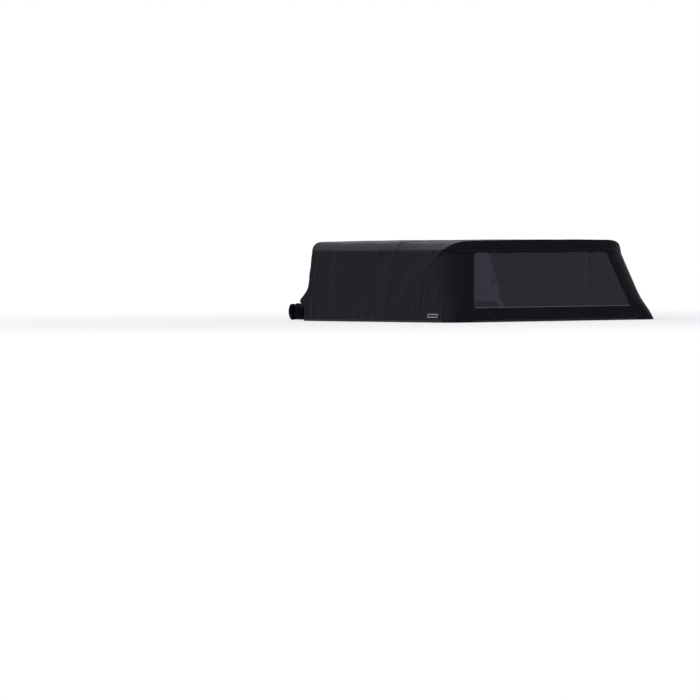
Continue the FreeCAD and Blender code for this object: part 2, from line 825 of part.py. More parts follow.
def make_roof_and_header():
    """The roof and the rear header, which meet over the rear bow."""
    outer = cap_solid(0, 0)
    inner = cap_solid(Named.fabric.value, Named.roof_rise.value)
    skin = outer.cut(inner)
    add_shape("roof_panel", skin.common(ridge_prism(False)))
    add_shape("rear_header", skin.common(ridge_prism(True)))


def corner_wire(sign, height):
    """The plan outline of a rear corner at one height."""
    z = number_of(height)
    radius = corner_radius(height).value
    side = wall_x(height, 0).value
    back = rear_y(height).value
    front = corner_front_y(height).value
    inner = rear_zip_x(height).value
    slant = math.sqrt(0.5)

    def spot(x, y):
        return FreeCAD.Vector(sign * x, y, z)

    def run(inset):
        reach = radius - inset
        centre = (side - radius, back + radius)
        return [
            Part.LineSegment(spot(side - inset, front), spot(side - inset, centre[1])),
            Part.Arc(spot(side - inset, centre[1]),
                     spot(centre[0] + reach * slant, centre[1] - reach * slant),
                     spot(centre[0], back + inset)),
            Part.LineSegment(spot(centre[0], back + inset), spot(inner, back + inset)),
        ]

    cloth = Named.fabric.value
    outer, inside = run(0), run(cloth)
    rear_end = Part.LineSegment(spot(inner, back), spot(inner, back + cloth))
    front_end = Part.LineSegment(spot(side - cloth, front), spot(side, front))
    edges = [edge.toShape() for edge in outer + [rear_end] + inside[::-1] + [front_end]]
    return Part.Wire(Part.__sortEdges__(edges))


def make_rear_corner(name, sign):
    """The fabric that wraps from the side curtain to the rear zip."""
    wires = [corner_wire(sign, height) for height in corner_heights()]
    add_shape(name, Part.makeLoft(wires, True, True))


# Bows, brackets and bolts

def rear_bow_lean():
    """Lean of the rear bow's plane, from its pivot to the ridge, in degrees."""
    top = rear_y(BOW_TOP, Named.fabric + Named.fit_gap + BOW_RADIUS) + BOW_RADIUS / 2
    return slope_angle(Named.rear_pivot_place - top, BOW_TOP - BOW_RADIUS - Named.pivot_height)


def make_bow(name, foot_y, lean, forward, shoulder):
    """A bent tube in a plane that leans from its two pivots.

    Args:
        name: node name.
        foot_y: place of the pivots from the rear foot.
        lean: lean of the bow's plane from upright, in degrees.
        forward: True when the bow leans forward.
        shoulder: radius of the tube's two bends.
    """
    stretch = 1 / cosine(lean)
    axis = (-1, 0, 0) if forward else (1, 0, 0)
    body = new_body(name, y=foot_y, z=Named.pivot_height, axis=axis, angle=lean)
    depth = Named.fabric + Named.fit_gap + BOW_RADIUS
    low = -Named.bow_foot_length
    foot_height = Named.pivot_height - Named.bow_foot_length / stretch
    foot_x = wall_x(foot_height, depth)
    crown_line = BOW_TOP - BOW_RADIUS
    half_crown = Named.crown_half_width
    rise = Named.crown_rise
    peak = (crown_line + rise - Named.pivot_height) * stretch
    slope = 2 * rise * stretch / half_crown
    wall_slope = SIDE_SLOPE / stretch
    wall_at_pivot = wall_x(Named.pivot_height, depth)
    corner_v = (peak - slope * wall_at_pivot) / (1 - slope * wall_slope)
    corner_x = wall_at_pivot - wall_slope * corner_v
    crown_radius = half_crown * half_crown / (2 * rise) / stretch
    points = [
        (-foot_x, low),
        (-corner_x, corner_v),
        (0, peak),
        (corner_x, corner_v),
        (foot_x, low),
    ]
    spine = new_sketch(body, "spine", "XZ_Plane")
    draw_rounded(spine, points, [None, shoulder, crown_radius, shoulder, None], closed=False)
    doc.recompute()
    profile = body.newObject("Sketcher::SketchObject", f"{name}_profile")
    profile.AttachmentSupport = (spine, ["Edge1"])
    profile.MapMode = "NormalToEdge"
    profile.MapPathParameter = 0.0
    draw_circle(profile, (0, 0), BOW_RADIUS)
    draw_circle(profile, (0, 0), BOW_RADIUS - Named.bow_wall)
    doc.recompute()
    pipe = body.newObject("PartDesign::AdditivePipe", f"{name}_tube")
    pipe.Profile = profile
    pipe.Spine = spine
    spine.Visibility = False
    profile.Visibility = False
    doc.recompute()
    return body


def drill_bow(body):
    """Cuts the bolt's cross hole through both feet of a bow."""
    holes = new_sketch(body, "bolt_holes", "YZ_Plane")
    draw_circle(holes, (0, 0), Named.bolt_diameter / 2 + Named.fit_gap)
    add_pocket(body, holes)


def ear_x():
    """Half width at the outer face of a bracket's upright ear."""
    return wall_x(Named.bracket_height, Named.fabric + 2 * Named.fit_gap + Named.bow_diameter)


def make_bracket(name, sign, first, last):
    """An angle bracket on the rail, with an upright ear inside the bows."""
    start = first - Named.bracket_margin
    end = last + Named.bracket_margin
    body = new_body(name, y=start)
    low, top = Named.rail_base, Named.bracket_height
    foot_top = low + Named.bracket_plate
    ear = ear_x()
    web_depth = Named.fabric + Named.fit_gap + Named.rail_web
    foot_end = wall_x(foot_top, web_depth) - Named.fit_gap
    sketch = new_sketch(body, "profile", "XZ_Plane")
    draw_polygon(sketch, [
        (sign * foot_end, low),
        (sign * (ear - Named.bracket_plate), low),
        (sign * (ear - Named.bracket_plate), top),
        (sign * ear, top),
        (sign * ear, foot_top),
        (sign * foot_end, foot_top),
    ])
    add_pad(body, sketch, end - start, reverse=True)
    return body


def drill_bracket(body, first, places):
    """Cuts the bolt holes through a bracket's ear."""
    start = first - Named.bracket_margin
    holes = new_sketch(body, "bolt_holes", "YZ_Plane")
    for place in places:
        draw_circle(holes, (place - start, Named.pivot_height),
                    Named.bolt_diameter / 2 + Named.fit_gap)
    add_pocket(body, holes)


def make_bow_bolts(name, sign, places):
    """The pivot bolts of one side, each with its head and spacer collar."""
    body = new_body(name)
    body.AllowCompound = True
    depth = Named.fabric + Named.fit_gap
    shank_top = Named.pivot_height + Named.bolt_diameter / 2
    tip = wall_x(shank_top, depth + Named.fit_gap)
    collar_top = Named.pivot_height + Named.bolt_head / 2
    collar_end = wall_x(collar_top, depth + Named.bow_diameter) - Named.fit_gap
    head_face = ear_x() - Named.bracket_plate - Named.fit_gap
    head_end = head_face - Named.bolt_head_height
    spans = (
        ("shank", Named.bolt_diameter / 2, head_end, tip),
        ("head", Named.bolt_head / 2, head_end, head_face),
        ("collar", Named.bolt_head / 2, ear_x() + Named.fit_gap, collar_end),
    )
    for index, place in enumerate(places, start=1):
        for part_name, radius, near, far in spans:
            sketch = new_sketch(body, f"{part_name}_{index}", "YZ_Plane")
            sketch.setExpression("AttachmentOffset.Base.z", text_of(sign * near))
            draw_circle(sketch, (place, Named.pivot_height), radius)
            add_pad(body, sketch, far - near, reverse=sign < 0)


# Rails, bars and corner brackets

def make_side_rail(name, sign):
    """The channel that lies on the bed's side, with its bolt holes."""
    body = new_body(name, y=Named.corner_foot_radius + Named.fit_gap)
    depth = Named.fabric + Named.fit_gap
    web_depth = depth + Named.rail_web
    inner_x = wall_x(0, depth) - Named.rail_width
    lip_x = inner_x + Named.rail_web
    base, top = Named.rail_base, Named.rail_height
    sketch = new_sketch(body, "profile", "XZ_Plane")
    draw_polygon(sketch, [
        (sign * inner_x, 0),
        (sign * wall_x(0, depth), 0),
        (sign * wall_x(top, depth), top),
        (sign * wall_x(top, web_depth), top),
        (sign * wall_x(base, web_depth), base),
        (sign * lip_x, base),
        (sign * lip_x, Named.rail_lip),
        (sign * inner_x, Named.rail_lip),
    ])
    add_pad(body, sketch, Named.side_length - Named.corner_foot_radius - Named.fit_gap, reverse=True)
    holes = new_sketch(body, "bolt_holes", "XY_Plane")
    for place in (Named.rear_bolt_place, Named.side_length - Named.front_bolt_inset):
        centre = (sign * (inner_x + Named.rail_bolt_inset),
                  place - Named.corner_foot_radius - Named.fit_gap)
        draw_circle(holes, centre, Named.rail_bolt_radius)
    add_pocket(body, holes)


def add_bar(body, half_length, outer, inner):
    """A hollow bar across the canopy from two side-view outlines."""
    sketch = new_sketch(body, "profile", "YZ_Plane")
    draw_polygon(sketch, outer)
    draw_polygon(sketch, inner)
    add_pad(body, sketch, 2 * half_length, midplane=True)


def make_rear_bar():
    """The hollow bar under the rear curtain, its rear face raked with it."""
    body = new_body("rear_bar")
    depth = Named.fabric + Named.fit_gap
    low, top = 0, Named.bar_height
    front = rear_y(low, depth) + Named.bar_depth
    wall = Named.bar_wall
    outer = [(rear_y(low, depth), low), (front, low), (front, top), (rear_y(top, depth), top)]
    inner = [
        (rear_y(wall, depth + wall), wall),
        (front - wall, wall),
        (front - wall, top - wall),
        (rear_y(top - wall, depth + wall), top - wall),
    ]
    half_length = Named.foot_half_width - Named.corner_foot_radius - Named.fit_gap
    add_bar(body, half_length, outer, inner)


def make_front_bar():
    """The hollow bar between the rails' front ends."""
    body = new_body("front_bar")
    low, top = 0, Named.bar_height
    back = Named.side_length - Named.bar_depth
    front = Named.side_length
    wall = Named.bar_wall
    outer = [(back, low), (front, low), (front, top), (back, top)]
    inner = [(back + wall, wall), (front - wall, wall),
             (front - wall, top - wall), (back + wall, top - wall)]
    depth = Named.fabric + Named.fit_gap
    half_length = wall_x(low, depth) - Named.rail_width - Named.fit_gap
    add_bar(body, half_length, outer, inner)


def make_corner_bracket(name, sign):
    """The quarter-ring plate between a side rail and the rear bar."""
    body = new_body(name)
    centre_x = Named.foot_half_width - Named.corner_foot_radius
    centre_y = Named.corner_foot_radius
    lost = Named.corner_plate * SIDE_SLOPE + Named.corner_plate * REAR_SLOPE
    reach = Named.corner_foot_radius - Named.fabric * REAR_STRETCH - Named.fit_gap - lost
    inner = Named.corner_inner_radius
    sketch = new_sketch(body, "profile", "XY_Plane")
    draw_quarter_ring(sketch, sign, centre_x, centre_y, reach, inner)
    add_pad(body, sketch, Named.corner_plate)


def draw_quarter_ring(sketch, sign, centre_x, centre_y, outer, inner):
    """Draws a quarter ring that opens forward and inward."""
    middle = vector((sign * centre_x, centre_y))
    start_angle, end_angle = (1.5 * math.pi, 2 * math.pi)
    if sign < 0:
        start_angle, end_angle = (math.pi, 1.5 * math.pi)
    arcs = []
    for radius in (outer, inner):
        circle = Part.Circle(middle, FreeCAD.Vector(0, 0, 1), number_of(radius))
        arc = sketch.addGeometry(Part.ArcOfCircle(circle, start_angle, end_angle))
        bind(sketch, "DistanceX", -1, 1, arc, 3, size=sign * centre_x)
        bind(sketch, "DistanceY", -1, 1, arc, 3, size=centre_y)
        bind(sketch, "Radius", arc, size=radius)
        arcs.append(arc)
    for end, kind in ((1, "Vertical" if sign > 0 else "Horizontal"),
                      (2, "Horizontal" if sign > 0 else "Vertical")):
        points = [sketch.getPoint(arc, end) for arc in arcs]
        line = sketch.addGeometry(Part.LineSegment(points[0], points[1]))
        sketch.addConstraint(Sketcher.Constraint("Coincident", line, 1, arcs[0], end))
        sketch.addConstraint(Sketcher.Constraint("Coincident", line, 2, arcs[1], end))
        sketch.addConstraint(Sketcher.Constraint(kind, line))
        sketch.addConstraint(Sketcher.Constraint(
            "PointOnObject", arcs[0], 3, line))


# Roof straps and the rolled front curtain

def make_roof_strap(name, sign):
    """A webbing strap over the bows, just under the roof."""
    start = rear_y(BOW_TOP, Named.fabric) + Named.fit_gap
    end = front_y(BOW_TOP) - Named.front_bow_inset
    outer_x = Named.roof_strap_place + Named.roof_strap_width / 2
    inner_x = Named.roof_strap_place - Named.roof_strap_width / 2
    fall = Named.crown_rise / (Named.crown_half_width * Named.crown_half_width)
    top = CROWN_HEIGHT - Named.fabric - Named.fit_gap

    def under_roof(x):
        return top - fall * x * x

    body = new_body(name, y=start)
    sketch = new_sketch(body, "profile", "XZ_Plane")
    draw_polygon(sketch, [
        (sign * inner_x, under_roof(inner_x) - Named.webbing),
        (sign * outer_x, under_roof(outer_x) - Named.webbing),
        (sign * outer_x, under_roof(outer_x)),
        (sign * inner_x, under_roof(inner_x)),
    ])
    add_pad(body, sketch, end - start, reverse=True)


ROLL_HEIGHT = Named.roll_radius + Named.fit_gap + Named.webbing + Named.fit_gap


def make_front_roll():
    """The front curtain, rolled down along the front bar."""
    body = new_body("front_curtain_roll")
    sketch = new_sketch(body, "end", "YZ_Plane")
    draw_circle(sketch, (ROLL_PLACE, ROLL_HEIGHT), Named.roll_radius)
    add_pad(body, sketch, 2 * ROLL_HALF_LENGTH, midplane=True)


def make_roll_ties():
    """Webbing ties round the rolled curtain."""
    body = new_body("front_roll_ties")
    body.AllowCompound = True
    inner = Named.roll_radius + Named.fit_gap
    outer_place = ROLL_HALF_LENGTH - Named.outer_tie_inset
    places = [-outer_place, -Named.inner_tie_place, Named.inner_tie_place, outer_place]
    for index, place in enumerate(places, start=1):
        sketch = new_sketch(body, f"tie_{index}", "YZ_Plane")
        sketch.setExpression("AttachmentOffset.Base.z", text_of(place))
        draw_circle(sketch, (ROLL_PLACE, ROLL_HEIGHT), inner + Named.webbing)
        draw_circle(sketch, (ROLL_PLACE, ROLL_HEIGHT), inner)
        add_pad(body, sketch, Named.tie_width, midplane=True)


def make_front_flap():
    """The unrolled foot of the front curtain, from the front bar to the roll."""
    body = new_body("front_curtain_flap")
    low = Named.bar_height + Named.fit_gap
    drop = ROLL_HEIGHT - low - Named.fabric
    outer = Named.roll_radius + Named.webbing + 2 * Named.fit_gap
    half_chord = Size(
        f"sqrt({text_of(outer * outer - drop * drop)})",
        math.sqrt((outer * outer - drop * drop).value))
    back = Named.side_length - Named.bar_depth
    front = ROLL_PLACE - half_chord
    sketch = new_sketch(body, "profile", "YZ_Plane")
    draw_polygon(sketch, [(back, low), (front, low), (front, low + Named.fabric),
                          (back, low + Named.fabric)])
    depth = Named.fabric + Named.fit_gap
    half_length = wall_x(0, depth) - Named.rail_width - Named.fit_gap
    add_pad(body, sketch, 2 * half_length, midplane=True)


def build_sides():
    """All pieces that come in a left and a right."""
    front_pivot = front_y(Named.pivot_height) - Named.front_bow_inset
    for side, sign in SIDES:
        make_side_rail(f"{side}_side_rail", sign)
        make_corner_bracket(f"{side}_rear_corner_bracket", sign)
        pivots = (Named.rear_pivot_place, Named.middle_bow_place)
        bracket = make_bracket(f"{side}_pivot_bracket", sign, *pivots)
        drill_bracket(bracket, pivots[0], pivots)
        front = make_bracket(f"{side}_front_bow_bracket", sign, front_pivot, front_pivot)
        drill_bracket(front, front_pivot, [front_pivot])
        make_bow_bolts(f"{side}_bow_bolts", sign, [*pivots, front_pivot])
        make_side_curtain(f"{side}_side_curtain", sign)
        make_front_border(f"{side}_front_border", sign)
        make_rear_corner(f"{side}_rear_corner", sign)
        make_front_side_zip(f"{side}_front_side_zip", sign)
        make_rear_side_zip(f"{side}_rear_side_zip", sign)
        make_side_hem(f"{side}_bottom_hem", sign)
        make_eave_buckles(f"{side}_eave_buckles", sign)
        make_label(f"{side}_blank_label", sign)
        make_rear_strap(f"{side}_rear_strap", sign)
        make_roof_strap(f"{side}_roof_strap", sign)


def build_bows():
    """The three bows, each drilled for its pivot bolts."""
    upright = Size("0", 0)
    front_pivot = front_y(Named.pivot_height) - Named.front_bow_inset
    depth = Named.fabric + Named.fit_gap + BOW_RADIUS
    shoulder = Named.shoulder_radius - depth
    bows = (
        ("rear_bow", Named.rear_pivot_place, rear_bow_lean(), False, Named.rear_bow_bend),
        ("middle_bow", Named.middle_bow_place, upright, False, shoulder),
        ("front_bow", front_pivot, Named.front_rake, True, shoulder),
    )
    for name, place, lean, forward, round_radius in bows:
        bow = make_bow(name, place, lean, forward, round_radius)
        drill_bow(bow)


def build_rear():
    """The rear face and what is on it."""
    make_rear_curtain()
    make_rear_window()
    make_rear_zips()
    make_rear_hem()
    make_strap_buckles()
    make_rear_bar()


def build_front():
    """The roof, the front bar and the rolled front curtain."""
    make_roof_and_header()
    make_front_bar()
    make_front_roll()
    make_roll_ties()
    make_front_flap()


def check_and_export():
    """Checks every object and writes one file per sub-part."""
    doc.recompute()
    for item in doc.Objects:
        if "Invalid" in item.State or "Error" in item.State:
            raise ValueError(f"{item.Label} did not compute: {item.State}")
    os.makedirs("parts", exist_ok=True)
    pieces = [item for item in doc.Objects
              if item.TypeId in ("PartDesign::Body", "Part::Feature")]
    for piece in pieces:
        if piece.Shape.isNull() or not piece.Shape.isValid():
            raise ValueError(f"{piece.Label} has no valid shape")
        piece.Shape.exportStep(f"parts/{piece.Label}.step")
        box = piece.Shape.BoundBox
        print(f"{piece.Label:28s} solids {len(piece.Shape.Solids)} "
              f"x {box.XMin:.1f} {box.XMax:.1f} y {box.YMin:.1f} {box.YMax:.1f} "
              f"z {box.ZMin:.1f} {box.ZMax:.1f}")


build_sides()
build_bows()
build_rear()
build_front()
check_and_export()
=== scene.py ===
import logging
import math
from dataclasses import dataclass, field
from enum import Enum
from functools import partial
from typing import Callable

import bmesh
import bpy
import numpy as np
from mathutils import Matrix, Quaternion, Vector


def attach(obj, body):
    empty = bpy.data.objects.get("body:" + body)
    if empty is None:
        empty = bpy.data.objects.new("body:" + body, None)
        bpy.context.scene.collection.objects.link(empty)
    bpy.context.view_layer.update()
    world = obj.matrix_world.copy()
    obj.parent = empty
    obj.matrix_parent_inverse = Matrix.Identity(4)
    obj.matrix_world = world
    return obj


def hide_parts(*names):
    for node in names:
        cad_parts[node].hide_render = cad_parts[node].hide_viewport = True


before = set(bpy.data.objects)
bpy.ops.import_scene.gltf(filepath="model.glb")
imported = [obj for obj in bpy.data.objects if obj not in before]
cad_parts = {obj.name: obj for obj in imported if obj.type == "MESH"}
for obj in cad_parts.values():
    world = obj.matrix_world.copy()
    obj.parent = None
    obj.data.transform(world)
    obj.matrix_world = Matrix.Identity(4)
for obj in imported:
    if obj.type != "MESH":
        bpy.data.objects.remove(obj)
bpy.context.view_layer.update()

# Soft folding canopy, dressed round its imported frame.
# +X is right, +Y is forward, +Z is up, in metres, and Z = 0 is the underside of the rails.
# Places along Y are worked out from the foot of the rear face, and moved to the
# frame's own Y by REAR_FOOT_Y when a mesh is placed.

REAR_FOOT_Y = -1.07422
MM = 0.001
LOG = logging.getLogger("canopy")

Array = np.ndarray
Material = bpy.types.Material
Surface = Callable[[Array, Array], Array]


class Side(Enum):
    """The two sides of the canopy, with the sign of X."""

    LEFT = -1
    RIGHT = 1

    @property
    def word(self) -> str:
        """The side's word as the frame's nodes use it."""
        return self.name.lower()


class Weave(Enum):
    """How a cloth's threads lie."""

    TWILL = "twill"
    RIBBED = "ribbed"


# Colours and nodes

# a wave texture of scale 1 turns this many radians in one metre
WAVE_RATE = 20


def linear(code: str) -> tuple[float, float, float, float]:
    """Turns an sRGB hex value into a linear colour.

    Args:
        code: six hex digits after a hash sign.

    Returns:
        Red, green, blue and alpha for a shader socket.
    """
    parts = [int(code[index:index + 2], 16) / 255 for index in (1, 3, 5)]
    shades = [part / 12.92 if part <= 0.04045 else ((part + 0.055) / 1.055) ** 2.4
              for part in parts]
    return (*shades, 1.0)


def add_node(tree: bpy.types.NodeTree, kind: str, values: dict | None = None,
             links: dict | None = None, **settings: object) -> bpy.types.Node:
    """Adds one node with its settings, socket values and links.

    Args:
        tree: the node tree.
        kind: the node's type name.
        values: socket name or index to a constant.
        links: socket name or index to an output socket that feeds it.
        settings: the node's own properties.

    Returns:
        The new node.
    """
    node = tree.nodes.new(kind)
    for name, value in settings.items():
        setattr(node, name, value)
    for socket, value in (values or {}).items():
        node.inputs[socket].default_value = value
    for socket, source in (links or {}).items():
        tree.links.new(source, node.inputs[socket])
    return node


def blank_material(name: str) -> tuple[Material, bpy.types.NodeTree]:
    """A material with an empty node tree.

    Args:
        name: the material's name.

    Returns:
        The material and its tree.
    """
    material = bpy.data.materials.new(name)
    material.use_nodes = True
    material.node_tree.nodes.clear()
    return material, material.node_tree


@dataclass(frozen=True)
class Cloth:
    """Vinyl-coated polyester cloth: threads in relief under a dull, slightly waxy coat."""

    name: str
    base: str = "#101118"
    worn: str = "#17181f"
    roughness: float = 0.5
    specular: float = 0.035
    thread_mm: float = 3.2
    relief: float = 0.16
    weave: Weave = Weave.TWILL

    def build(self) -> Material:
        """Makes the cloth's material on the piece's own flat cloth map.

        Returns:
            The material.
        """
        material, tree = blank_material(self.name)
        flat = add_node(tree, "ShaderNodeUVMap", uv_map="cloth")
        place = add_node(tree, "ShaderNodeTexCoord")
        turn = math.radians(45) if self.weave is Weave.TWILL else 0.0
        lay = add_node(tree, "ShaderNodeMapping", {"Rotation": (0.0, 0.0, turn)},
                       {"Vector": flat.outputs["UV"]})
        # the real threads are 0.7 mm apart; they are drawn coarser so that they show
        rows = {"Scale": 2 * math.pi / (WAVE_RATE * self.thread_mm * MM),
                "Distortion": 0.35, "Detail": 1.0, "Detail Scale": 2.0}
        threads = add_node(tree, "ShaderNodeTexWave", rows,
                           {"Vector": lay.outputs["Vector"]}, bands_direction="X")
        cross = add_node(tree, "ShaderNodeTexWave", rows,
                         {"Vector": flat.outputs["UV"]}, bands_direction="Y")
        knit = add_node(tree, "ShaderNodeMix", {"Factor": 0.5}, {
            2: threads.outputs["Fac"], 3: cross.outputs["Fac"]}, data_type="FLOAT")
        grime = add_node(tree, "ShaderNodeTexNoise",
                         {"Scale": 3.4, "Detail": 6.0, "Roughness": 0.62},
                         {"Vector": place.outputs["Object"]})
        mottle = add_node(tree, "ShaderNodeTexNoise",
                          {"Scale": 46.0, "Detail": 4.0, "Roughness": 0.6},
                          {"Vector": place.outputs["Object"]})
        both = add_node(tree, "ShaderNodeMath", None,
                        {0: grime.outputs["Fac"], 1: mottle.outputs["Fac"]},
                        operation="MULTIPLY")
        spread = add_node(tree, "ShaderNodeMapRange",
                          {"From Min": 0.14, "From Max": 0.40, "To Min": 0.0, "To Max": 1.0},
                          {"Value": both.outputs[0]})
        tint = add_node(tree, "ShaderNodeMix", {6: linear(self.base), 7: linear(self.worn)},
                        {"Factor": spread.outputs[0]}, data_type="RGBA")
        gloss = add_node(tree, "ShaderNodeMapRange",
                         {"From Min": 0.3, "From Max": 0.7, "To Min": self.roughness - 0.07,
                          "To Max": self.roughness + 0.08},
                         {"Value": grime.outputs["Fac"]})
        bump = add_node(tree, "ShaderNodeBump",
                        {"Strength": self.relief, "Distance": 0.35 * MM},
                        {"Height": knit.outputs[0]})
        slack = add_node(tree, "ShaderNodeBump", {"Strength": 0.22, "Distance": 1.6 * MM},
                         {"Height": mottle.outputs["Fac"], "Normal": bump.outputs["Normal"]})
        shader = add_node(tree, "ShaderNodeBsdfPrincipled",
                          {"IOR": 1.5, "Specular IOR Level": self.specular},
                          {"Base Color": tint.outputs[2], "Roughness": gloss.outputs[0],
                           "Normal": slack.outputs["Normal"]})
        add_node(tree, "ShaderNodeOutputMaterial", None, {"Surface": shader.outputs[0]})
        return material


@dataclass(frozen=True)
class TintedFilm:
    """Smoked clear vinyl: thin, glossy, with a faint haze and ripples from rolling."""

    name: str = "smoked_vinyl_film"
    tint: str = "#7b7c8b"
    body: str = "#262736"
    inward: str = "#eceef0"
    share: float = 0.46
    roughness: float = 0.16

    def build(self) -> Material:
        """Makes the see-through film's material.

        Returns:
            The material.
        """
        material, tree = blank_material(self.name)
        place = add_node(tree, "ShaderNodeTexCoord")
        haze = add_node(tree, "ShaderNodeTexNoise", {"Scale": 5.0, "Detail": 5.0},
                        {"Vector": place.outputs["Object"]})
        rough = add_node(tree, "ShaderNodeMapRange",
                         {"To Min": self.roughness - 0.05, "To Max": self.roughness + 0.12},
                         {"Value": haze.outputs["Fac"]})
        ripple = add_node(tree, "ShaderNodeTexNoise",
                          {"Scale": 9.0, "Detail": 2.0, "Distortion": 0.8},
                          {"Vector": place.outputs["Object"]})
        bump = add_node(tree, "ShaderNodeBump", {"Strength": 0.25, "Distance": 3 * MM},
                        {"Height": ripple.outputs["Fac"]})
        shader = add_node(tree, "ShaderNodeBsdfPrincipled",
                          {"Base Color": linear(self.body), "IOR": 1.5,
                           "Specular IOR Level": 0.4},
                          {"Roughness": rough.outputs[0], "Normal": bump.outputs["Normal"]})
        clear = add_node(tree, "ShaderNodeBsdfTransparent", {"Color": linear(self.tint)})
        blend = add_node(tree, "ShaderNodeMixShader", {"Fac": self.share},
                         {1: clear.outputs[0], 2: shader.outputs[0]})
        # light that goes in to the straps and the lining isn't held back by the tint
        path = add_node(tree, "ShaderNodeLightPath")
        inward = add_node(tree, "ShaderNodeMath", None,
                          {0: path.outputs["Is Shadow Ray"], 1: path.outputs["Is Diffuse Ray"]},
                          operation="MAXIMUM")
        bright = add_node(tree, "ShaderNodeBsdfTransparent", {"Color": linear(self.inward)})
        passed = add_node(tree, "ShaderNodeMixShader", None,
                          {0: inward.outputs[0], 1: blend.outputs[0], 2: bright.outputs[0]})
        add_node(tree, "ShaderNodeOutputMaterial", None, {"Surface": passed.outputs[0]})
        return material


@dataclass(frozen=True)
class Moulded:
    """Moulded acetal or nylon: even colour, fine sparked grain, soft highlights."""

    name: str
    base: str = "#0c0d0e"
    scuffed: str = "#17181a"
    roughness: float = 0.46
    grain_mm: float = 0.9

    def build(self) -> Material:
        """Makes the moulded plastic's material.

        Returns:
            The material.
        """
        material, tree = blank_material(self.name)
        place = add_node(tree, "ShaderNodeTexCoord")
        grain = add_node(tree, "ShaderNodeTexNoise",
                         {"Scale": 1 / (self.grain_mm * MM), "Detail": 3.0},
                         {"Vector": place.outputs["Object"]})
        scuff = add_node(tree, "ShaderNodeTexNoise", {"Scale": 38.0, "Detail": 6.0},
                         {"Vector": place.outputs["Object"]})
        rough = add_node(tree, "ShaderNodeMapRange",
                         {"To Min": self.roughness - 0.08, "To Max": self.roughness + 0.14},
                         {"Value": scuff.outputs["Fac"]})
        tint = add_node(tree, "ShaderNodeMix",
                        {6: linear(self.base), 7: linear(self.scuffed)},
                        {"Factor": scuff.outputs["Fac"]}, data_type="RGBA")
        bump = add_node(tree, "ShaderNodeBump", {"Strength": 0.2, "Distance": 0.2 * MM},
                        {"Height": grain.outputs["Fac"]})
        shader = add_node(tree, "ShaderNodeBsdfPrincipled",
                          {"IOR": 1.48, "Specular IOR Level": 0.12},
                          {"Base Color": tint.outputs[2], "Roughness": rough.outputs[0],
                           "Normal": bump.outputs["Normal"]})
        add_node(tree, "ShaderNodeOutputMaterial", None, {"Surface": shader.outputs[0]})
        return material


@dataclass(frozen=True)
class CoatedMetal:
    """Powder-coated metal: fine orange peel, a satin sheen, rubbed lighter at its edges."""

    name: str
    base: str = "#141516"
    bare: str = "#5d5f62"
    roughness: float = 0.38
    peel_mm: float = 1.6
    edge_wear: float = 0.35

    def build(self) -> Material:
        """Makes the coated metal's material.

        Returns:
            The material.
        """
        material, tree = blank_material(self.name)
        place = add_node(tree, "ShaderNodeTexCoord")
        peel = add_node(tree, "ShaderNodeTexNoise",
                        {"Scale": 1 / (self.peel_mm * MM), "Detail": 2.0},
                        {"Vector": place.outputs["Object"]})
        dust = add_node(tree, "ShaderNodeTexNoise", {"Scale": 12.0, "Detail": 8.0},
                        {"Vector": place.outputs["Object"]})
        form = add_node(tree, "ShaderNodeNewGeometry")
        edge = add_node(tree, "ShaderNodeMapRange",
                        {"From Min": 0.53, "From Max": 0.66, "To Max": self.edge_wear},
                        {"Value": form.outputs["Pointiness"]})
        patch = add_node(tree, "ShaderNodeMath", None,
                         {0: edge.outputs[0], 1: dust.outputs["Fac"]}, operation="MULTIPLY")
        tint = add_node(tree, "ShaderNodeMix",
                        {6: linear(self.base), 7: linear(self.bare)},
                        {"Factor": patch.outputs[0]}, data_type="RGBA")
        rough = add_node(tree, "ShaderNodeMapRange",
                         {"To Min": self.roughness - 0.08, "To Max": self.roughness + 0.2},
                         {"Value": dust.outputs["Fac"]})
        bump = add_node(tree, "ShaderNodeBump", {"Strength": 0.15, "Distance": 0.15 * MM},
                        {"Height": peel.outputs["Fac"]})
        shader = add_node(tree, "ShaderNodeBsdfPrincipled",
                          {"Metallic": 0.0, "Specular IOR Level": 0.3,
                           "Coat Weight": 0.1, "Coat Roughness": 0.35},
                          {"Base Color": tint.outputs[2], "Roughness": rough.outputs[0],
                           "Normal": bump.outputs["Normal"]})
        add_node(tree, "ShaderNodeOutputMaterial", None, {"Surface": shader.outputs[0]})
        return material


@dataclass(frozen=True)
class PlatedSteel:
    """Zinc-plated steel: a grey, slightly cloudy metal with fine turning marks."""

    name: str = "zinc_plated_steel"
    base: str = "#8d9092"
    clouded: str = "#6c6a63"
    roughness: float = 0.34

    def build(self) -> Material:
        """Makes the plated steel's material.

        Returns:
            The material.
        """
        material, tree = blank_material(self.name)
        place = add_node(tree, "ShaderNodeTexCoord")
        cloud = add_node(tree, "ShaderNodeTexNoise", {"Scale": 140.0, "Detail": 5.0},
                         {"Vector": place.outputs["Object"]})
        tint = add_node(tree, "ShaderNodeMix",
                        {6: linear(self.base), 7: linear(self.clouded)},
                        {"Factor": cloud.outputs["Fac"]}, data_type="RGBA")
        rough = add_node(tree, "ShaderNodeMapRange",
                         {"To Min": self.roughness - 0.08, "To Max": self.roughness + 0.16},
                         {"Value": cloud.outputs["Fac"]})
        bump = add_node(tree, "ShaderNodeBump", {"Strength": 0.1, "Distance": 0.1 * MM},
                        {"Height": cloud.outputs["Fac"]})
        shader = add_node(tree, "ShaderNodeBsdfPrincipled", {"Metallic": 1.0},
                          {"Base Color": tint.outputs[2], "Roughness": rough.outputs[0],
                           "Normal": bump.outputs["Normal"]})
        add_node(tree, "ShaderNodeOutputMaterial", None, {"Surface": shader.outputs[0]})
        return material


def built(maker: Cloth | TintedFilm | Moulded | CoatedMetal | PlatedSteel) -> Material:
    """A field that starts as the material of a finish."""
    return field(default_factory=maker.build)


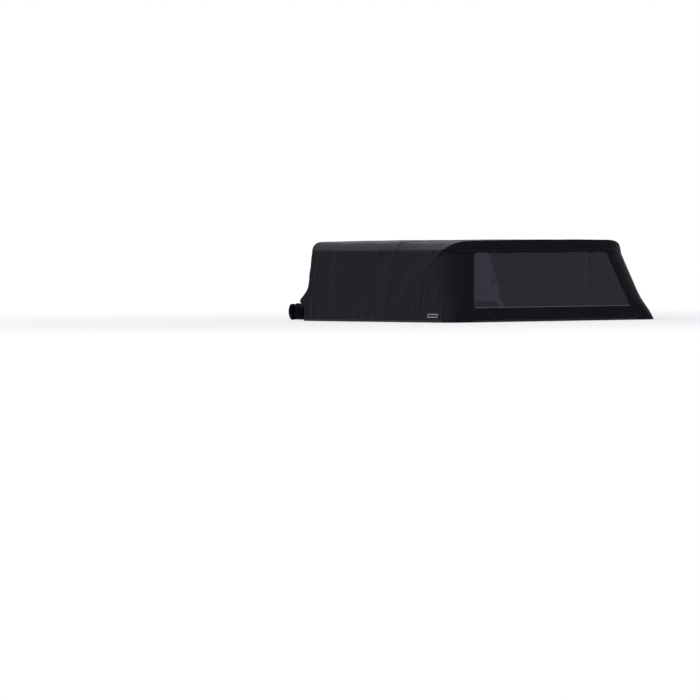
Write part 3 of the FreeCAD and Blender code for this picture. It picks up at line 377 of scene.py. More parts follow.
@dataclass(frozen=True)
class Finishes:
    """Every finish of the canopy, built once."""

    side_cloth: Material = built(Cloth("coated_cloth_black"))
    # the sides' black cloth painted paler: light from above and sheen at grazing angles are
    # painted into its colour
    roof_cloth_painted_light: Material = built(Cloth(
        "coated_cloth_roof_painted_light", base="#28272e", worn="#302f36", specular=0.06))
    # the sides' black cloth painted darker: painted shade for the rear face, which faces away
    # from the light
    rear_cloth_painted_shade: Material = built(Cloth(
        "coated_cloth_rear_painted_shade", base="#0f1015", worn="#15161c", specular=0.04))
    webbing: Material = built(Cloth(
        "webbing_black", base="#191a1b", worn="#28272e", roughness=0.68, thread_mm=2.0,
        relief=0.6, weave=Weave.RIBBED))
    pale_webbing: Material = built(Cloth(
        "webbing_pale_grey", base="#eceef0", worn="#f1f2f3", roughness=0.7, thread_mm=2.0,
        relief=0.6, weave=Weave.RIBBED))
    # the hem's paler grey is a painted highlight where the hem turns outward over the rail
    hem: Material = built(Cloth(
        "hem_tape_painted_highlight", base="#2b2c2f", worn="#36373a", roughness=0.55, thread_mm=2.4,
        weave=Weave.RIBBED))
    label: Material = built(Cloth(
        "label_cloth", base="#1c1d1f", worn="#28292b", roughness=0.5, thread_mm=1.4,
        weave=Weave.RIBBED))
    thread: Material = built(Moulded(
        "sewing_thread", base="#202124", scuffed="#2a2b2e", roughness=0.6))
    pale_thread: Material = built(Moulded(
        "sewing_thread_pale", base="#a4a7ab", scuffed="#8e9195", roughness=0.6))
    piping: Material = built(Moulded(
        "film_edge_piping", base="#686b70", scuffed="#585b60", roughness=0.5))
    film: Material = built(TintedFilm())
    plastic: Material = built(Moulded("moulded_nylon_black"))
    tube: Material = built(CoatedMetal("powder_coated_tube", base="#18191a"))
    rail: Material = built(CoatedMetal(
        "powder_coated_rail", base="#161718", roughness=0.44))
    bracket: Material = built(CoatedMetal(
        "powder_coated_bracket", base="#1a1b1c", roughness=0.5, edge_wear=0.6))
    bolt: Material = built(PlatedSteel())


# The canopy's form

# the round's share of a curve from the eave to the middle of the roof
SHOULDER_SHARE = 0.3
# rounds of the search for where a round meets its crown
TOUCH_ROUNDS = 30


@dataclass(frozen=True)
class Shoulder:
    """A side line and a crown, joined by a round, in one bow's own plane."""

    wall: float
    slope: float
    crown: float
    fall: float
    radius: float

    def centre(self) -> tuple[float, float, float, float]:
        """Centre of the round and the angles where it leaves side and crown.

        Returns:
            Half width and height of the centre, angle at the side, angle at the crown.
        """
        low = math.atan(self.slope)
        across = self.wall - self.radius
        tilt = 0.0
        for _ in range(TOUCH_ROUNDS):
            touch = across + self.radius * math.sin(tilt)
            tilt = math.atan(2 * self.fall * touch)
            up = self.crown - self.fall * touch ** 2 - self.radius * math.cos(tilt)
            reach = self.wall * math.cos(low) - self.radius - up * math.sin(low)
            across = reach / math.cos(low)
        return across, up, low, math.pi / 2 - tilt

    def across_at(self, up: Array) -> Array:
        """Half width at a height, on the side line or the round.

        Args:
            up: heights.

        Returns:
            The half widths.
        """
        across, middle, low, _ = self.centre()
        start = middle + self.radius * math.sin(low)
        rise = np.clip((up - middle) / self.radius, -1, 1)
        round_part = across + self.radius * np.sqrt(np.maximum(1 - rise ** 2, 0))
        return np.where(up <= start, self.wall - up * self.slope, round_part)

    def top_curve(self, girth: Array, start: float) -> tuple[Array, Array]:
        """The curve from a start height over the round and along the crown.

        Args:
            girth: 0 at the start height, SHOULDER_SHARE where the crown begins, 1 at the middle.
            start: the start height.

        Returns:
            Half width and height.
        """
        across, middle, low, high = self.centre()
        bend_start = middle + self.radius * math.sin(low)
        straight = max(bend_start - start, 0.0) / math.cos(low)
        first = low if straight > 0 else math.asin((start - middle) / self.radius)
        bend = self.radius * (high - first)
        run = np.clip(girth / SHOULDER_SHARE, 0, 1) * (straight + bend)
        on_line = run < straight
        line_up = start + run * math.cos(low)
        angle = first + np.maximum(run - straight, 0) / self.radius
        x = np.where(on_line, self.wall - line_up * self.slope,
                     across + self.radius * np.cos(angle))
        up = np.where(on_line, line_up, middle + self.radius * np.sin(angle))
        share = np.clip((girth - SHOULDER_SHARE) / (1 - SHOULDER_SHARE), 0, 1)
        touch = across + self.radius * math.cos(high)
        crown_x = touch * (1 - share)
        on_crown = girth > SHOULDER_SHARE
        x = np.where(on_crown, crown_x, x)
        up = np.where(on_crown, self.crown - self.fall * crown_x ** 2, up)
        return x, up


@dataclass(frozen=True)
class Form:
    """The outer face of the fabric, measured from the rear foot, in metres."""

    foot_half: float = 0.887
    side_slope: float = 0.122 / 0.503
    eave: float = 0.503
    crown: float = 0.567
    crown_fall: float = 0.017
    crown_lift: float = 0.003
    rear_crown_lift: float = 0.006
    foot_edge: float = 0.002
    side_length: float = 1.9
    rear_slope: float = math.tan(math.radians(20.7))
    front_slope: float = math.tan(math.radians(9))
    shoulder_radius: float = 0.08
    middle_bow_y: float = 0.883
    rear_pivot_y: float = 0.83
    pivot_up: float = 0.052
    rear_bow_lean: float = math.radians(50.06)
    rear_bow_bend: float = 0.178
    border_width: float = 0.032
    zip_depth: float = 0.104
    front_bow_inset: float = 0.026
    # heights, and where the front edge stands at each
    flare_levels: tuple[float, ...] = (0, 0.1, 0.145, 0.23, 0.6)
    flare_places: tuple[float, ...] = (1.905, 1.935, 2.003, 1.938, 1.995)
    # heights, and the rear corner's plan radius at each
    corner_levels: tuple[float, ...] = (0, 0.029, 0.163, 0.503, 0.6)
    corner_radii: tuple[float, ...] = (0.095, 0.086, 0.18, 0.19, 0.193)
    corner_step_reach: float = 0.12
    ridge_width: float = 0.017
    rear_ridge_width: float = 0.0328
    rear_ridge: float = 4.2 * MM
    middle_ridge: float = 2.2 * MM

    @property
    def rear_out(self) -> Array:
        """The way out of the rear face."""
        rake = math.atan(self.rear_slope)
        return np.array([0.0, -math.cos(rake), math.sin(rake)])

    @property
    def section(self) -> Shoulder:
        """The upright section at the middle and front bows."""
        return Shoulder(self.foot_half, self.side_slope, self.crown + self.crown_lift,
                        self.crown_fall, self.shoulder_radius)

    @property
    def rear_arch(self) -> Shoulder:
        """The fabric's line over the rear bow, in the bow's own plane.

        Returns:
            The bow's curve.
        """
        lift = math.cos(self.rear_bow_lean)
        wall = self.foot_half - self.pivot_up * self.side_slope
        top = (self.crown + self.rear_crown_lift - self.pivot_up) / lift
        return Shoulder(wall, self.side_slope * lift, top, self.crown_fall / lift,
                        self.rear_bow_bend)

    def level(self, share: Array) -> Array:
        """Height at a share of the way from foot to eave."""
        return self.foot_edge + share * (self.eave - self.foot_edge)

    def wall_x(self, up: Array) -> Array:
        """Half width of the flat side at a height."""
        return self.foot_half - up * self.side_slope

    def rear_y(self, up: Array | float) -> Array | float:
        """The rear face's place at a height."""
        return up * self.rear_slope

    def front_y(self, up: Array) -> Array:
        """The front edge's place at a height, before its flare."""
        return self.side_length + up * self.front_slope

    def front_edge_y(self, up: Array) -> Array:
        """The front edge's place at a height, with the flare at its foot."""
        return eased(up, 0.014, 7, self.flare_levels, self.flare_places)

    def front_zip_y(self, up: Array) -> Array:
        """The front side zip's place at a height."""
        return self.front_y(up) - self.border_width

    def corner_radius(self, up: Array) -> Array:
        """Plan radius of the rear corner at a height, eased over its knee."""
        return eased(up, 0.05, 9, self.corner_levels, self.corner_radii)

    def bow_y(self, up: Array) -> Array:
        """Place of the rear bow's line at a height."""
        rise = np.maximum(up - self.pivot_up, 0)
        return self.rear_pivot_y - rise * math.tan(self.rear_bow_lean)

    def bow_x(self, up: Array) -> Array:
        """Half width of the rear bow's line at a height."""
        run = (up - self.pivot_up) / math.cos(self.rear_bow_lean)
        return np.where(up <= self.pivot_up, self.wall_x(up), self.rear_arch.across_at(run))

    def corner_x(self, place: Array, up: Array) -> Array:
        """Half width of the rounded rear corner at a place and height.

        Args:
            place: distances from the rear foot.
            up: heights.

        Returns:
            The half widths.
        """
        radius = self.corner_radius(up)
        lag = np.clip((self.rear_y(up) + radius - place) / radius, 0, 1)
        return self.wall_x(up) - radius + radius * np.sqrt(np.maximum(1 - lag ** 2, 0))

    def side_x(self, place: Array, up: Array) -> Array:
        """Half width of the side at a place and height, ahead of the rear side zip.

        Args:
            place: distances from the rear foot.
            up: heights.

        Returns:
            The half widths.
        """
        bow_y, bow_x = self.bow_y(up), self.bow_x(up)
        section_x = self.section.across_at(up)
        near = np.clip((place - bow_y) / np.maximum(self.middle_bow_y - bow_y, 1e-6), 0, 1)
        ahead = bow_x + (section_x - bow_x) * near
        step = bow_x - self.corner_x(bow_y, up)
        fade = np.clip(1 - (bow_y - place) / self.corner_step_reach, 0, 1)
        behind = self.corner_x(place, up) + step * fade
        return np.where(place < bow_y, behind, ahead)

    def bow_gap(self, place: Array, up: Array) -> Array:
        """How far a place on the side is from the nearest bow.

        Args:
            place: distances from the rear foot.
            up: heights.

        Returns:
            The distances.
        """
        rear = np.abs(place - self.bow_y(up)) * math.cos(self.rear_bow_lean)
        middle = np.abs(place - self.middle_bow_y)
        front = np.abs(place - self.front_y(up) + self.front_bow_inset + 0.02)
        return np.minimum(np.minimum(rear, middle), front)

    def bow_ridge(self, place: Array, up: Array) -> Array:
        """How far the bows push the side's fabric out, at a place and height.

        Args:
            place: distances from the rear foot.
            up: heights.

        Returns:
            The distances.
        """
        rear = np.exp(-((place - self.bow_y(up)) / self.rear_ridge_width) ** 2)
        rear *= edge_fade(up - 0.30, 0.16) * self.rear_ridge
        middle = np.exp(-((place - self.middle_bow_y) / self.ridge_width) ** 2)
        middle *= edge_fade(up - 0.43, 0.07) * self.middle_ridge
        return rear + middle


FORM = Form()
NOISE_CELLS = 64


def eased(up: Array, reach: float, count: int, levels: tuple[float, ...],
          values: tuple[float, ...]) -> Array:
    """Values at heights between given levels, with every bend rounded off.

    Args:
        up: heights.
        reach: how far above and below a bend it is rounded.
        count: how many samples round it.
        levels: the heights that have a value.
        values: the value at each level.

    Returns:
        A value for each height.
    """
    spots = [np.interp(np.clip(up + shift, 0, 1), levels, values)
             for shift in np.linspace(-reach, reach, count)]
    return np.mean(spots, axis=0)


def smooth_noise(x: Array, y: Array, seed: int) -> Array:
    """Soft noise from -1 to 1 on a plane, the same on every run.

    Args:
        x: places in cells along one way.
        y: places in cells along the other.
        seed: which noise.

    Returns:
        The noise at each place.
    """
    table = np.random.default_rng(seed).uniform(-1, 1, (NOISE_CELLS, NOISE_CELLS))
    left, low = np.floor(x).astype(int), np.floor(y).astype(int)
    part_x, part_y = x - left, y - low
    part_x = part_x ** 3 * (part_x * (part_x * 6 - 15) + 10)
    part_y = part_y ** 3 * (part_y * (part_y * 6 - 15) + 10)
    corner = [[table[(left + i) % NOISE_CELLS, (low + j) % NOISE_CELLS] for j in (0, 1)]
              for i in (0, 1)]
    lower = corner[0][0] * (1 - part_x) + corner[1][0] * part_x
    upper = corner[0][1] * (1 - part_x) + corner[1][1] * part_x
    return lower * (1 - part_y) + upper * part_y


def unit_rows(ways: Array) -> Array:
    """The ways as unit rows."""
    return ways / np.maximum(np.linalg.norm(ways, axis=1, keepdims=True), 1e-12)


def edge_fade(distance: Array, reach: float) -> Array:
    """Grows from 0 at an edge to 1 at a reach inside it."""
    share = np.clip(distance / reach, 0, 1)
    return share * share * (3 - 2 * share)


def pucker(along: Array, away: Array, pitch: float, reach: float, seed: int) -> Array:
    """Small gathers that fade away from a seam, from -1 to 1.

    Args:
        along: distances along the seam.
        away: distances from it.
        pitch: distance between gathers.
        reach: how far they run into the cloth.
        seed: which noise makes them uneven.

    Returns:
        The gathers' share of their full height.
    """
    wander = smooth_noise(along / (pitch * 2.3), away * 0 + 0.5, seed)
    wave = np.sin(2 * math.pi * along / pitch + 2.6 * wander)
    strength = 0.55 + 0.45 * smooth_noise(along / (pitch * 4), away * 0 + 3.5, seed + 1)
    return wave * strength * np.exp(-away / reach)


@dataclass(frozen=True)
class Fold:
    """One soft crease in a cloth, from a start to an end in the cloth's own plane."""

    start: tuple[float, float]
    end: tuple[float, float]
    width: float
    height: float

    def rise(self, x: Array, y: Array) -> Array:
        """How far the crease lifts the cloth at each place.

        Args:
            x: places along the cloth.
            y: places up it.

        Returns:
            The lifts.
        """
        way = np.array(self.end) - np.array(self.start)
        length = float(np.hypot(*way))
        way = way / length
        along = (x - self.start[0]) * way[0] + (y - self.start[1]) * way[1]
        away = -(x - self.start[0]) * way[1] + (y - self.start[1]) * way[0]
        bend = away + 0.18 * self.width * np.sin(along / length * 5.0)
        share = np.clip(along / length, 0, 1)
        taper = np.sin(math.pi * share) ** 0.7
        crest = np.exp(-(bend / self.width) ** 2)
        trough = np.exp(-((bend - 1.6 * self.width) / self.width) ** 2)
        return self.height * (crest - 0.45 * trough) * taper


# Meshes

# points closer than this are one
SEAM_GAP = 2e-6
# half a band's section: shares of its width and of its thickness
RIBBON_PROFILE = np.array([(-0.5, 0.0), (-0.5, 0.6), (-0.42, 1.0), (0.42, 1.0), (0.5, 0.6),
                           (0.5, 0.0)])
# how far the side's outward way goes out and up
SIDE_LEAN = (0.97, 0.24)


def new_object(name: str, work: bmesh.types.BMesh, material: Material,
               slot: str, smooth: bool = True) -> bpy.types.Object:
    """Turns a bmesh into a piece of the one rigid body.

    Args:
        name: the piece's name.
        work: the bmesh, in the canopy's own measure from the rear foot.
        material: its finish.
        slot: the record's material slot; not used.
        smooth: whether its faces are shaded smooth.

    Returns:
        The new piece.
    """
    bmesh.ops.translate(work, verts=work.verts, vec=(0, REAR_FOOT_Y, 0))
    mesh = bpy.data.meshes.new(name)
    work.to_mesh(mesh)
    work.free()
    mesh.materials.append(material)
    mesh.polygons.foreach_set("use_smooth", [smooth] * len(mesh.polygons))
    piece = bpy.data.objects.new(name, mesh)
    bpy.context.scene.collection.objects.link(piece)
    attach(piece, "root")
    LOG.info("%s: %d faces", name, len(mesh.polygons))
    return piece


def cloth_grid(columns: int, rows: int, place: Surface,
               flat: tuple[float, float]) -> bmesh.types.BMesh:
    """A grid laid on a surface, with its flat size kept as the cloth map.

    Args:
        columns: cells along the first way.
        rows: cells along the second.
        place: gives the points, as rows of X, Y, Z, for shares 0 to 1 of both ways.
        flat: the cloth's flat width and height in metres, for its map.

    Returns:
        The placed grid.
    """
    work = bmesh.new()
    bmesh.ops.create_grid(work, x_segments=columns, y_segments=rows, size=0.5)
    shares = np.array([vert.co[:2] for vert in work.verts]) + 0.5
    points = place(shares[:, 0], shares[:, 1])
    chart = work.loops.layers.uv.new("cloth")
    for face in work.faces:
        for corner in face.loops:
            share = shares[corner.vert.index]
            corner[chart].uv = (share[0] * flat[0], share[1] * flat[1])
    for vert, point in zip(work.verts, points):
        vert.co = point
    return work


def join_points(x: Array, y: Array, z: Array) -> Array:
    """Rows of X, Y, Z from three arrays."""
    return np.stack(np.broadcast_arrays(x, y, z), axis=-1)


def face_outward(work: bmesh.types.BMesh, inside: Vector) -> None:
    """Turns an open sheet so that its faces look away from a point inside.

    Args:
        work: the sheet's bmesh.
        inside: a point behind it.
    """
    total = 0.0
    for face in work.faces:
        total += face.normal.dot(face.calc_center_median() - inside) * face.calc_area()
    if total < 0:
        bmesh.ops.reverse_faces(work, faces=work.faces)


def thicken(piece: bpy.types.Object, thickness: float, offset: float = -1.0) -> None:
    """Gives a sheet its thickness, inward unless the offset says otherwise.

    Args:
        piece: the sheet.
        thickness: how thick it gets.
        offset: -1 for inward, 0 for both ways.
    """
    wall = piece.modifiers.new("thickness", "SOLIDIFY")
    wall.thickness = thickness
    wall.offset = offset
    wall.use_even_offset = False


def dress_sheet(name: str, node: str | None, work: bmesh.types.BMesh,
                finish: tuple[Material, str], inside: Vector,
                thickness: float) -> bpy.types.Object:
    """Turns a placed grid into a thin sheet that stands for its node.

    Args:
        name: the piece's name.
        node: the node it replaces, or None for a detail of another piece.
        work: the placed grid.
        finish: its material and the record's material slot.
        inside: a point behind the sheet.
        thickness: how thick it is.

    Returns:
        The piece.
    """
    work.normal_update()
    face_outward(work, inside)
    piece = new_object(name, work, *finish)
    thicken(piece, thickness)
    if node is not None:
        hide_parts(node)
    return piece


def outward(side: Side, count: int) -> Array:
    """The side's outward way, once for each point of a path."""
    return np.tile([side.value * SIDE_LEAN[0], 0.0, SIDE_LEAN[1]], (count, 1))


def add_box(work: bmesh.types.BMesh, centre: Vector, size: tuple[float, float, float],
            turn: Quaternion | None = None, bevel: float = 0.0, segments: int = 2) -> None:
    """Adds a box with rounded edges to a bmesh.

    Args:
        work: the bmesh.
        centre: the box's middle.
        size: its three sides.
        turn: how it is turned.
        bevel: the radius of its edges.
        segments: how finely they are rounded.
    """
    made = bmesh.ops.create_cube(work, size=1.0)["verts"]
    bmesh.ops.scale(work, verts=made, vec=size)
    if bevel:
        edges = list({edge for vert in made for edge in vert.link_edges})
        made = bmesh.ops.bevel(work, geom=edges, offset=bevel, affect="EDGES",
                               segments=segments, profile=0.5, material=-1)["verts"]
        made = list({linked for vert in made for face in vert.link_faces
                     for linked in face.verts})
    if turn is not None:
        bmesh.ops.rotate(work, verts=made, cent=(0, 0, 0), matrix=turn.to_matrix())
    bmesh.ops.translate(work, verts=made, vec=centre)


def axes_turn(along: Vector, out: Vector) -> Quaternion:
    """The turn that takes X to a way along and Z to a way out.

    Args:
        along: the way that X takes.
        out: the way that Z takes.

    Returns:
        The turn.
    """
    side = out.cross(along).normalized()
    up = along.cross(side).normalized()
    return Matrix((along.normalized(), side, up)).transposed().to_quaternion()


def add_stitches(work: bmesh.types.BMesh, points: Array, normals: Array, pitch: float = 7.0 * MM,
                 length: float = 4.6 * MM, width: float = 1.1 * MM) -> None:
    """Adds a row of stitches along a path.

    Args:
        work: the bmesh.
        points: the path.
        normals: the way out of the cloth at each point.
        pitch: distance between stitches.
        length: length of one stitch.
        width: its width.
    """
    steps = np.linalg.norm(np.diff(points, axis=0), axis=1)
    run = np.concatenate([[0.0], np.cumsum(steps)])
    count = int(run[-1] / pitch)
    for index in range(count):
        at = (index + 0.5) * pitch
        spot, ahead, out = (
            Vector([np.interp(level, run, rows[:, axis]) for axis in range(3)])
            for level, rows in ((at, points), (at + pitch / 2, points), (at, normals)))
        out.normalize()
        way = ahead - spot
        if way.length < 1e-6:
            continue
        add_box(work, spot + out * width * 0.3, (length, width, width),
                axes_turn(way.normalized(), out))


def surface_frame(place: Surface, u: Array, v: Array, facing: Vector) -> tuple[Array, Array]:
    """Points and outward ways of a surface along a line on it.

    Args:
        place: the surface.
        u: the line's shares or places one way.
        v: those the other way.
        facing: a way that the outward ways roughly follow.

    Returns:
        Points and unit ways as rows of X, Y, Z.
    """
    step = 1e-3
    here = place(u, v)
    du = place(u + step, v) - place(u - step, v)
    dv = place(u, v + step) - place(u, v - step)
    normal = unit_rows(np.cross(du, dv))
    sign = np.sign(np.mean(normal @ np.array(facing)))
    return here, normal * (sign if sign else 1.0)


def add_ribbon(work: bmesh.types.BMesh, points: Array, normals: Array, width: float,
               rise: float, base: float = 0.0) -> None:
    """Adds a flat band with rounded edges along a path.

    Args:
        work: the bmesh.
        points: the path along the band's middle.
        normals: the way out at each point.
        width: the band's width.
        rise: its thickness.
        base: how far its underside stands off the path.
    """
    around = len(RIBBON_PROFILE)
    made = bmesh.ops.create_grid(work, x_segments=len(points) - 1, y_segments=around,
                                 size=0.5)["verts"]
    ways = np.gradient(points, axis=0)
    sides = unit_rows(np.cross(normals, ways))
    shares = np.array([vert.co[:2] for vert in made]) + 0.5
    steps = np.rint(shares * (len(points) - 1, around)).astype(int)
    profile = RIBBON_PROFILE[steps[:, 1] % around]
    spots = (points[steps[:, 0]] + sides[steps[:, 0]] * profile[:, :1] * width
             + normals[steps[:, 0]] * (base + profile[:, 1:] * rise))
    for vert, spot in zip(made, spots):
        vert.co = spot
    bmesh.ops.remove_doubles(work, verts=made, dist=SEAM_GAP)
    rims = [edge for edge in work.edges if edge.is_boundary]
    bmesh.ops.holes_fill(work, edges=rims, sides=around)
    bmesh.ops.recalc_face_normals(work, faces=work.faces)


# Sides and roof

# where the zips start above the rails' underside, and the hem bands' width
ZIP_FOOT = 0.016
HEM_WIDTH = 12.6 * MM


@dataclass
class SideCloth:
    """One roll-up side with its front border, seen from the rear zip to the front edge."""

    side: Side
    finishes: Finishes
    columns: int = 320
    rows: int = 96
    thickness: float = 1.4 * MM
    flat: tuple[float, float] = (1.77, 0.518)
    border_flat: tuple[float, float] = (0.10, 0.518)
    inside: Vector = field(default_factory=lambda: Vector((0, 1, 0.2)))
    hem_span: tuple[float, float] = (0.11, 1.898)
    hem_up: float = 0.0085
    hem_rows: tuple[float, ...] = (0.0045, 0.0128)
    buckle_places: tuple[float, ...] = (0.402, 1.081, 1.760)
    buckle_drop: float = 0.0085
    label_span: tuple[float, float] = (0.172, 0.318)
    label_levels: tuple[float, float] = (0.034, 0.060)
    label_inset: tuple[float, float] = (0.09, 0.12)

    def folds(self) -> list[Fold]:
        """The side's soft creases, as distance from the rear foot and height.

        Returns:
            The creases, the drawn ones first.
        """
        rng = np.random.default_rng(11 if self.side is Side.LEFT else 12)
        folds = [
            Fold((0.42, 0.02), (0.47, 0.30), 0.016, 2.2 * MM),
            Fold((0.50, 0.01), (0.53, 0.22), 0.013, 1.7 * MM),
            Fold((0.36, 0.03), (0.34, 0.26), 0.014, 1.5 * MM),
            Fold((1.79, 0.01), (1.86, 0.17), 0.02, 3.0 * MM),
            Fold((1.70, 0.0), (1.84, 0.08), 0.02, 2.2 * MM),
            Fold((0.862, 0.512), (0.845, 0.452), 0.011, -3.4 * MM),
            Fold((0.905, 0.512), (0.925, 0.455), 0.010, -2.0 * MM),
            Fold((0.90, 0.49), (0.96, 0.30), 0.018, 0.9 * MM),
            Fold((0.87, 0.49), (0.80, 0.27), 0.018, 0.9 * MM),
        ]
        for _ in range(24):
            place = rng.uniform(0.25, 1.8)
            foot = rng.uniform(0.0, 0.05)
            folds.append(Fold((place, foot), (place + rng.uniform(-0.03, 0.03),
                                              foot + rng.uniform(0.12, 0.42)),
                              rng.uniform(0.012, 0.026), rng.uniform(0.3, 1.15) * MM))
        return folds

    def relief(self, place: Array, up: Array) -> Array:
        """How far the cloth stands off the plain form at a place and height.

        Args:
            place: distances from the rear foot.
            up: heights.

        Returns:
            The distances, outward.
        """
        eave_gap = FORM.eave - up
        rear_gap = place - FORM.rear_y(up) - FORM.zip_depth
        front_gap = FORM.front_zip_y(up) - place
        seam_hold = edge_fade(rear_gap, 0.04) * edge_fade(front_gap, 0.04)
        hold = edge_fade(eave_gap, 0.035) * seam_hold
        waves = 2.4 * MM * smooth_noise(place * 5.2 + 3, up * 3.0, 21)
        waves += 1.1 * MM * smooth_noise(place * 17, up * 5.5, 22)
        hollow = np.sin(math.pi * np.clip(up / FORM.eave, 0, 1))
        bay = edge_fade(FORM.bow_gap(place, up) - 0.012, 0.22)
        total = waves - 5.0 * MM * hollow * bay
        for fold in self.folds():
            total = total + fold.rise(place, up)
        free = edge_fade(FORM.bow_gap(place, up) - 0.012, 0.05)
        total = np.maximum(total, -0.3 * MM) + np.minimum(total + 0.3 * MM, 0) * free
        foot = 0.6 * MM * pucker(place, up, 0.055, 0.05, 31)
        eave = 0.45 * MM * pucker(place, eave_gap, 0.043, 0.03, 33)
        return (total * hold * edge_fade(up + 0.02, 0.06) + foot * seam_hold
                + eave * edge_fade(rear_gap, 0.04) * edge_fade(eave_gap, 0.01)
                + FORM.bow_ridge(place, up) * edge_fade(rear_gap, 0.02))

    def skin(self, place: Array, up: Array) -> Array:
        """Points of the side's outer face at places and heights."""
        x = FORM.side_x(place, up) + self.relief(place, up)
        return join_points(self.side.value * x, place, up)

    def curtain_place(self, u: Array, v: Array) -> Array:
        """Points of the curtain for shares along it and up it.

        Args:
            u: shares along the cloth.
            v: shares up it.

        Returns:
            Rows of X, Y, Z.
        """
        up = FORM.level(v)
        start = FORM.rear_y(up) + FORM.zip_depth
        return self.skin(start + u * (FORM.front_zip_y(up) - start), up)

    def border_place(self, u: Array, v: Array) -> Array:
        """Points of the front border for shares across it and up it.

        Args:
            u: shares along the cloth.
            v: shares up it.

        Returns:
            Rows of X, Y, Z.
        """
        up = FORM.level(v)
        start = FORM.front_zip_y(up)
        edge = FORM.front_edge_y(up)
        place = start + u * (edge - start)
        x = FORM.side_x(place, up) + FORM.bow_ridge(place, up)
        flare = np.exp(-((up - 0.135) / 0.05) ** 2) * u ** 2
        wave = 1.2 * MM * np.sin(up * 60) * u
        x = x + 12 * MM * flare + wave * edge_fade(FORM.eave - up, 0.1)
        return join_points(self.side.value * x, place, up)

    def build(self) -> None:
        """Makes the side's cloth, zips, hem, buckles, label and seams."""
        word = self.side.word
        finish = (self.finishes.side_cloth, "coated_fabric")
        curtain = dress_sheet(
            f"{word}_side_cloth", f"{word}_side_curtain",
            cloth_grid(self.columns, self.rows, self.curtain_place, self.flat),
            finish, self.inside, self.thickness)
        border = dress_sheet(
            f"{word}_border_cloth", f"{word}_front_border",
            cloth_grid(16, self.rows, self.border_place, (0.04, 0.516)),
            finish, self.inside, self.thickness)
        self.build_zips()
        self.build_hem()
        self.build_buckles()
        self.build_label()

    def line(self, place_at: Callable[[Array], Array], low: float, high: float,
             count: int = 90) -> tuple[Array, Array]:
        """Points and outward ways along a line that climbs the side.

        Args:
            place_at: gives the line's places at heights.
            low: its lowest height.
            high: its highest height.
            count: how many points.

        Returns:
            Points and unit ways as rows of X, Y, Z.
        """
        up = np.linspace(low, high, count)
        place = place_at(up)
        return surface_frame(self.skin, place, up, Vector((self.side.value, 0, 0)))

    def build_zips(self) -> None:
        """Makes both of the side's zips, each with tape, teeth, slider and pull."""
        word = self.side.word
        front = self.line(FORM.front_zip_y, ZIP_FOOT, FORM.eave - 0.002)
        rear = self.line(lambda up: FORM.rear_y(up) + FORM.zip_depth, ZIP_FOOT,
                         FORM.eave - 0.004)
        for name, path in ((f"{word}_front_side_zip", front), (f"{word}_rear_side_zip", rear)):
            make_zip(name + "_made", name, path, self.finishes)

    def build_hem(self) -> None:
        """Makes the folded band along the foot, with two rows of stitches."""
        word = self.side.word
        work = bmesh.new()
        place = np.linspace(*self.hem_span, 260)
        here = self.skin(place, np.full_like(place, self.hem_up))
        here[:, 0] = self.side.value * (np.abs(here[:, 0]) + 0.1 * MM)
        out = outward(self.side, len(place))
        # the hem band's paler grey is a painted highlight along its turned edge
        add_ribbon(work, here, out, HEM_WIDTH, 1.0 * MM)
        hem = new_object(f"{word}_hem_band", work, self.finishes.hem, "hem", smooth=False)
        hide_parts(f"{word}_bottom_hem")
        stitches = bmesh.new()
        for rise in self.hem_rows:
            row = self.skin(place, np.full_like(place, rise)) + out * 1.1 * MM
            add_stitches(stitches, row, out)
        new_object(f"{word}_hem_stitches", stitches, self.finishes.thread, "hem",
                   smooth=False)

    def build_buckles(self) -> None:
        """Makes the three small buckles of the roll-up straps under the eave."""
        word = self.side.word
        work, straps = bmesh.new(), bmesh.new()
        up = FORM.eave - self.buckle_drop
        out = Vector(outward(self.side, 1)[0])
        for place in self.buckle_places:
            x = self.side.value * float(FORM.side_x(np.array([place]), np.array([up]))[0])
            add_buckle(work, straps, Vector((x, place, up)) + out * 1.5 * MM,
                       Vector((0, self.side.value, 0)), out)
        buckles = new_object(f"{word}_eave_buckle_set", work, self.finishes.plastic, "buckle")
        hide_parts(f"{word}_eave_buckles")
        new_object(f"{word}_eave_buckle_webbing", straps, self.finishes.webbing, "webbing",
                   smooth=False)

    def label_place(self, u: Array, v: Array) -> Array:
        """Points of the label for shares along it and up it.

        Args:
            u: shares along the label.
            v: shares up it.

        Returns:
            Rows of X, Y, Z.
        """
        first, last = self.label_span
        low, high = self.label_levels
        points = self.skin(first + u * (last - first), low + v * (high - low))
        points[:, 0] += self.side.value * 1.0 * MM
        return points

    def build_label(self) -> None:
        """Makes the blank sewn label, with a pale line inside its edge."""
        word = self.side.word
        flat = (self.label_span[1] - self.label_span[0],
                self.label_levels[1] - self.label_levels[0])
        dress_sheet(f"{word}_label_cloth", f"{word}_blank_label",
                    cloth_grid(60, 14, self.label_place, flat),
                    (self.finishes.label, "label"), self.inside, 0.6 * MM)
        edge = bmesh.new()
        u, v = self.label_inset
        corners = [(u, v), (1 - u, v), (1 - u, 1 - v), (u, 1 - v), (u, v)]
        for (u0, v0), (u1, v1) in zip(corners, corners[1:]):
            u, v = np.linspace(u0, u1, 30), np.linspace(v0, v1, 30)
            add_ribbon(edge, self.label_place(u, v), outward(self.side, len(u)), 5.4 * MM,
                       0.5 * MM)
        new_object(f"{word}_label_edging", edge, self.finishes.pale_thread, "label",
                   smooth=False)


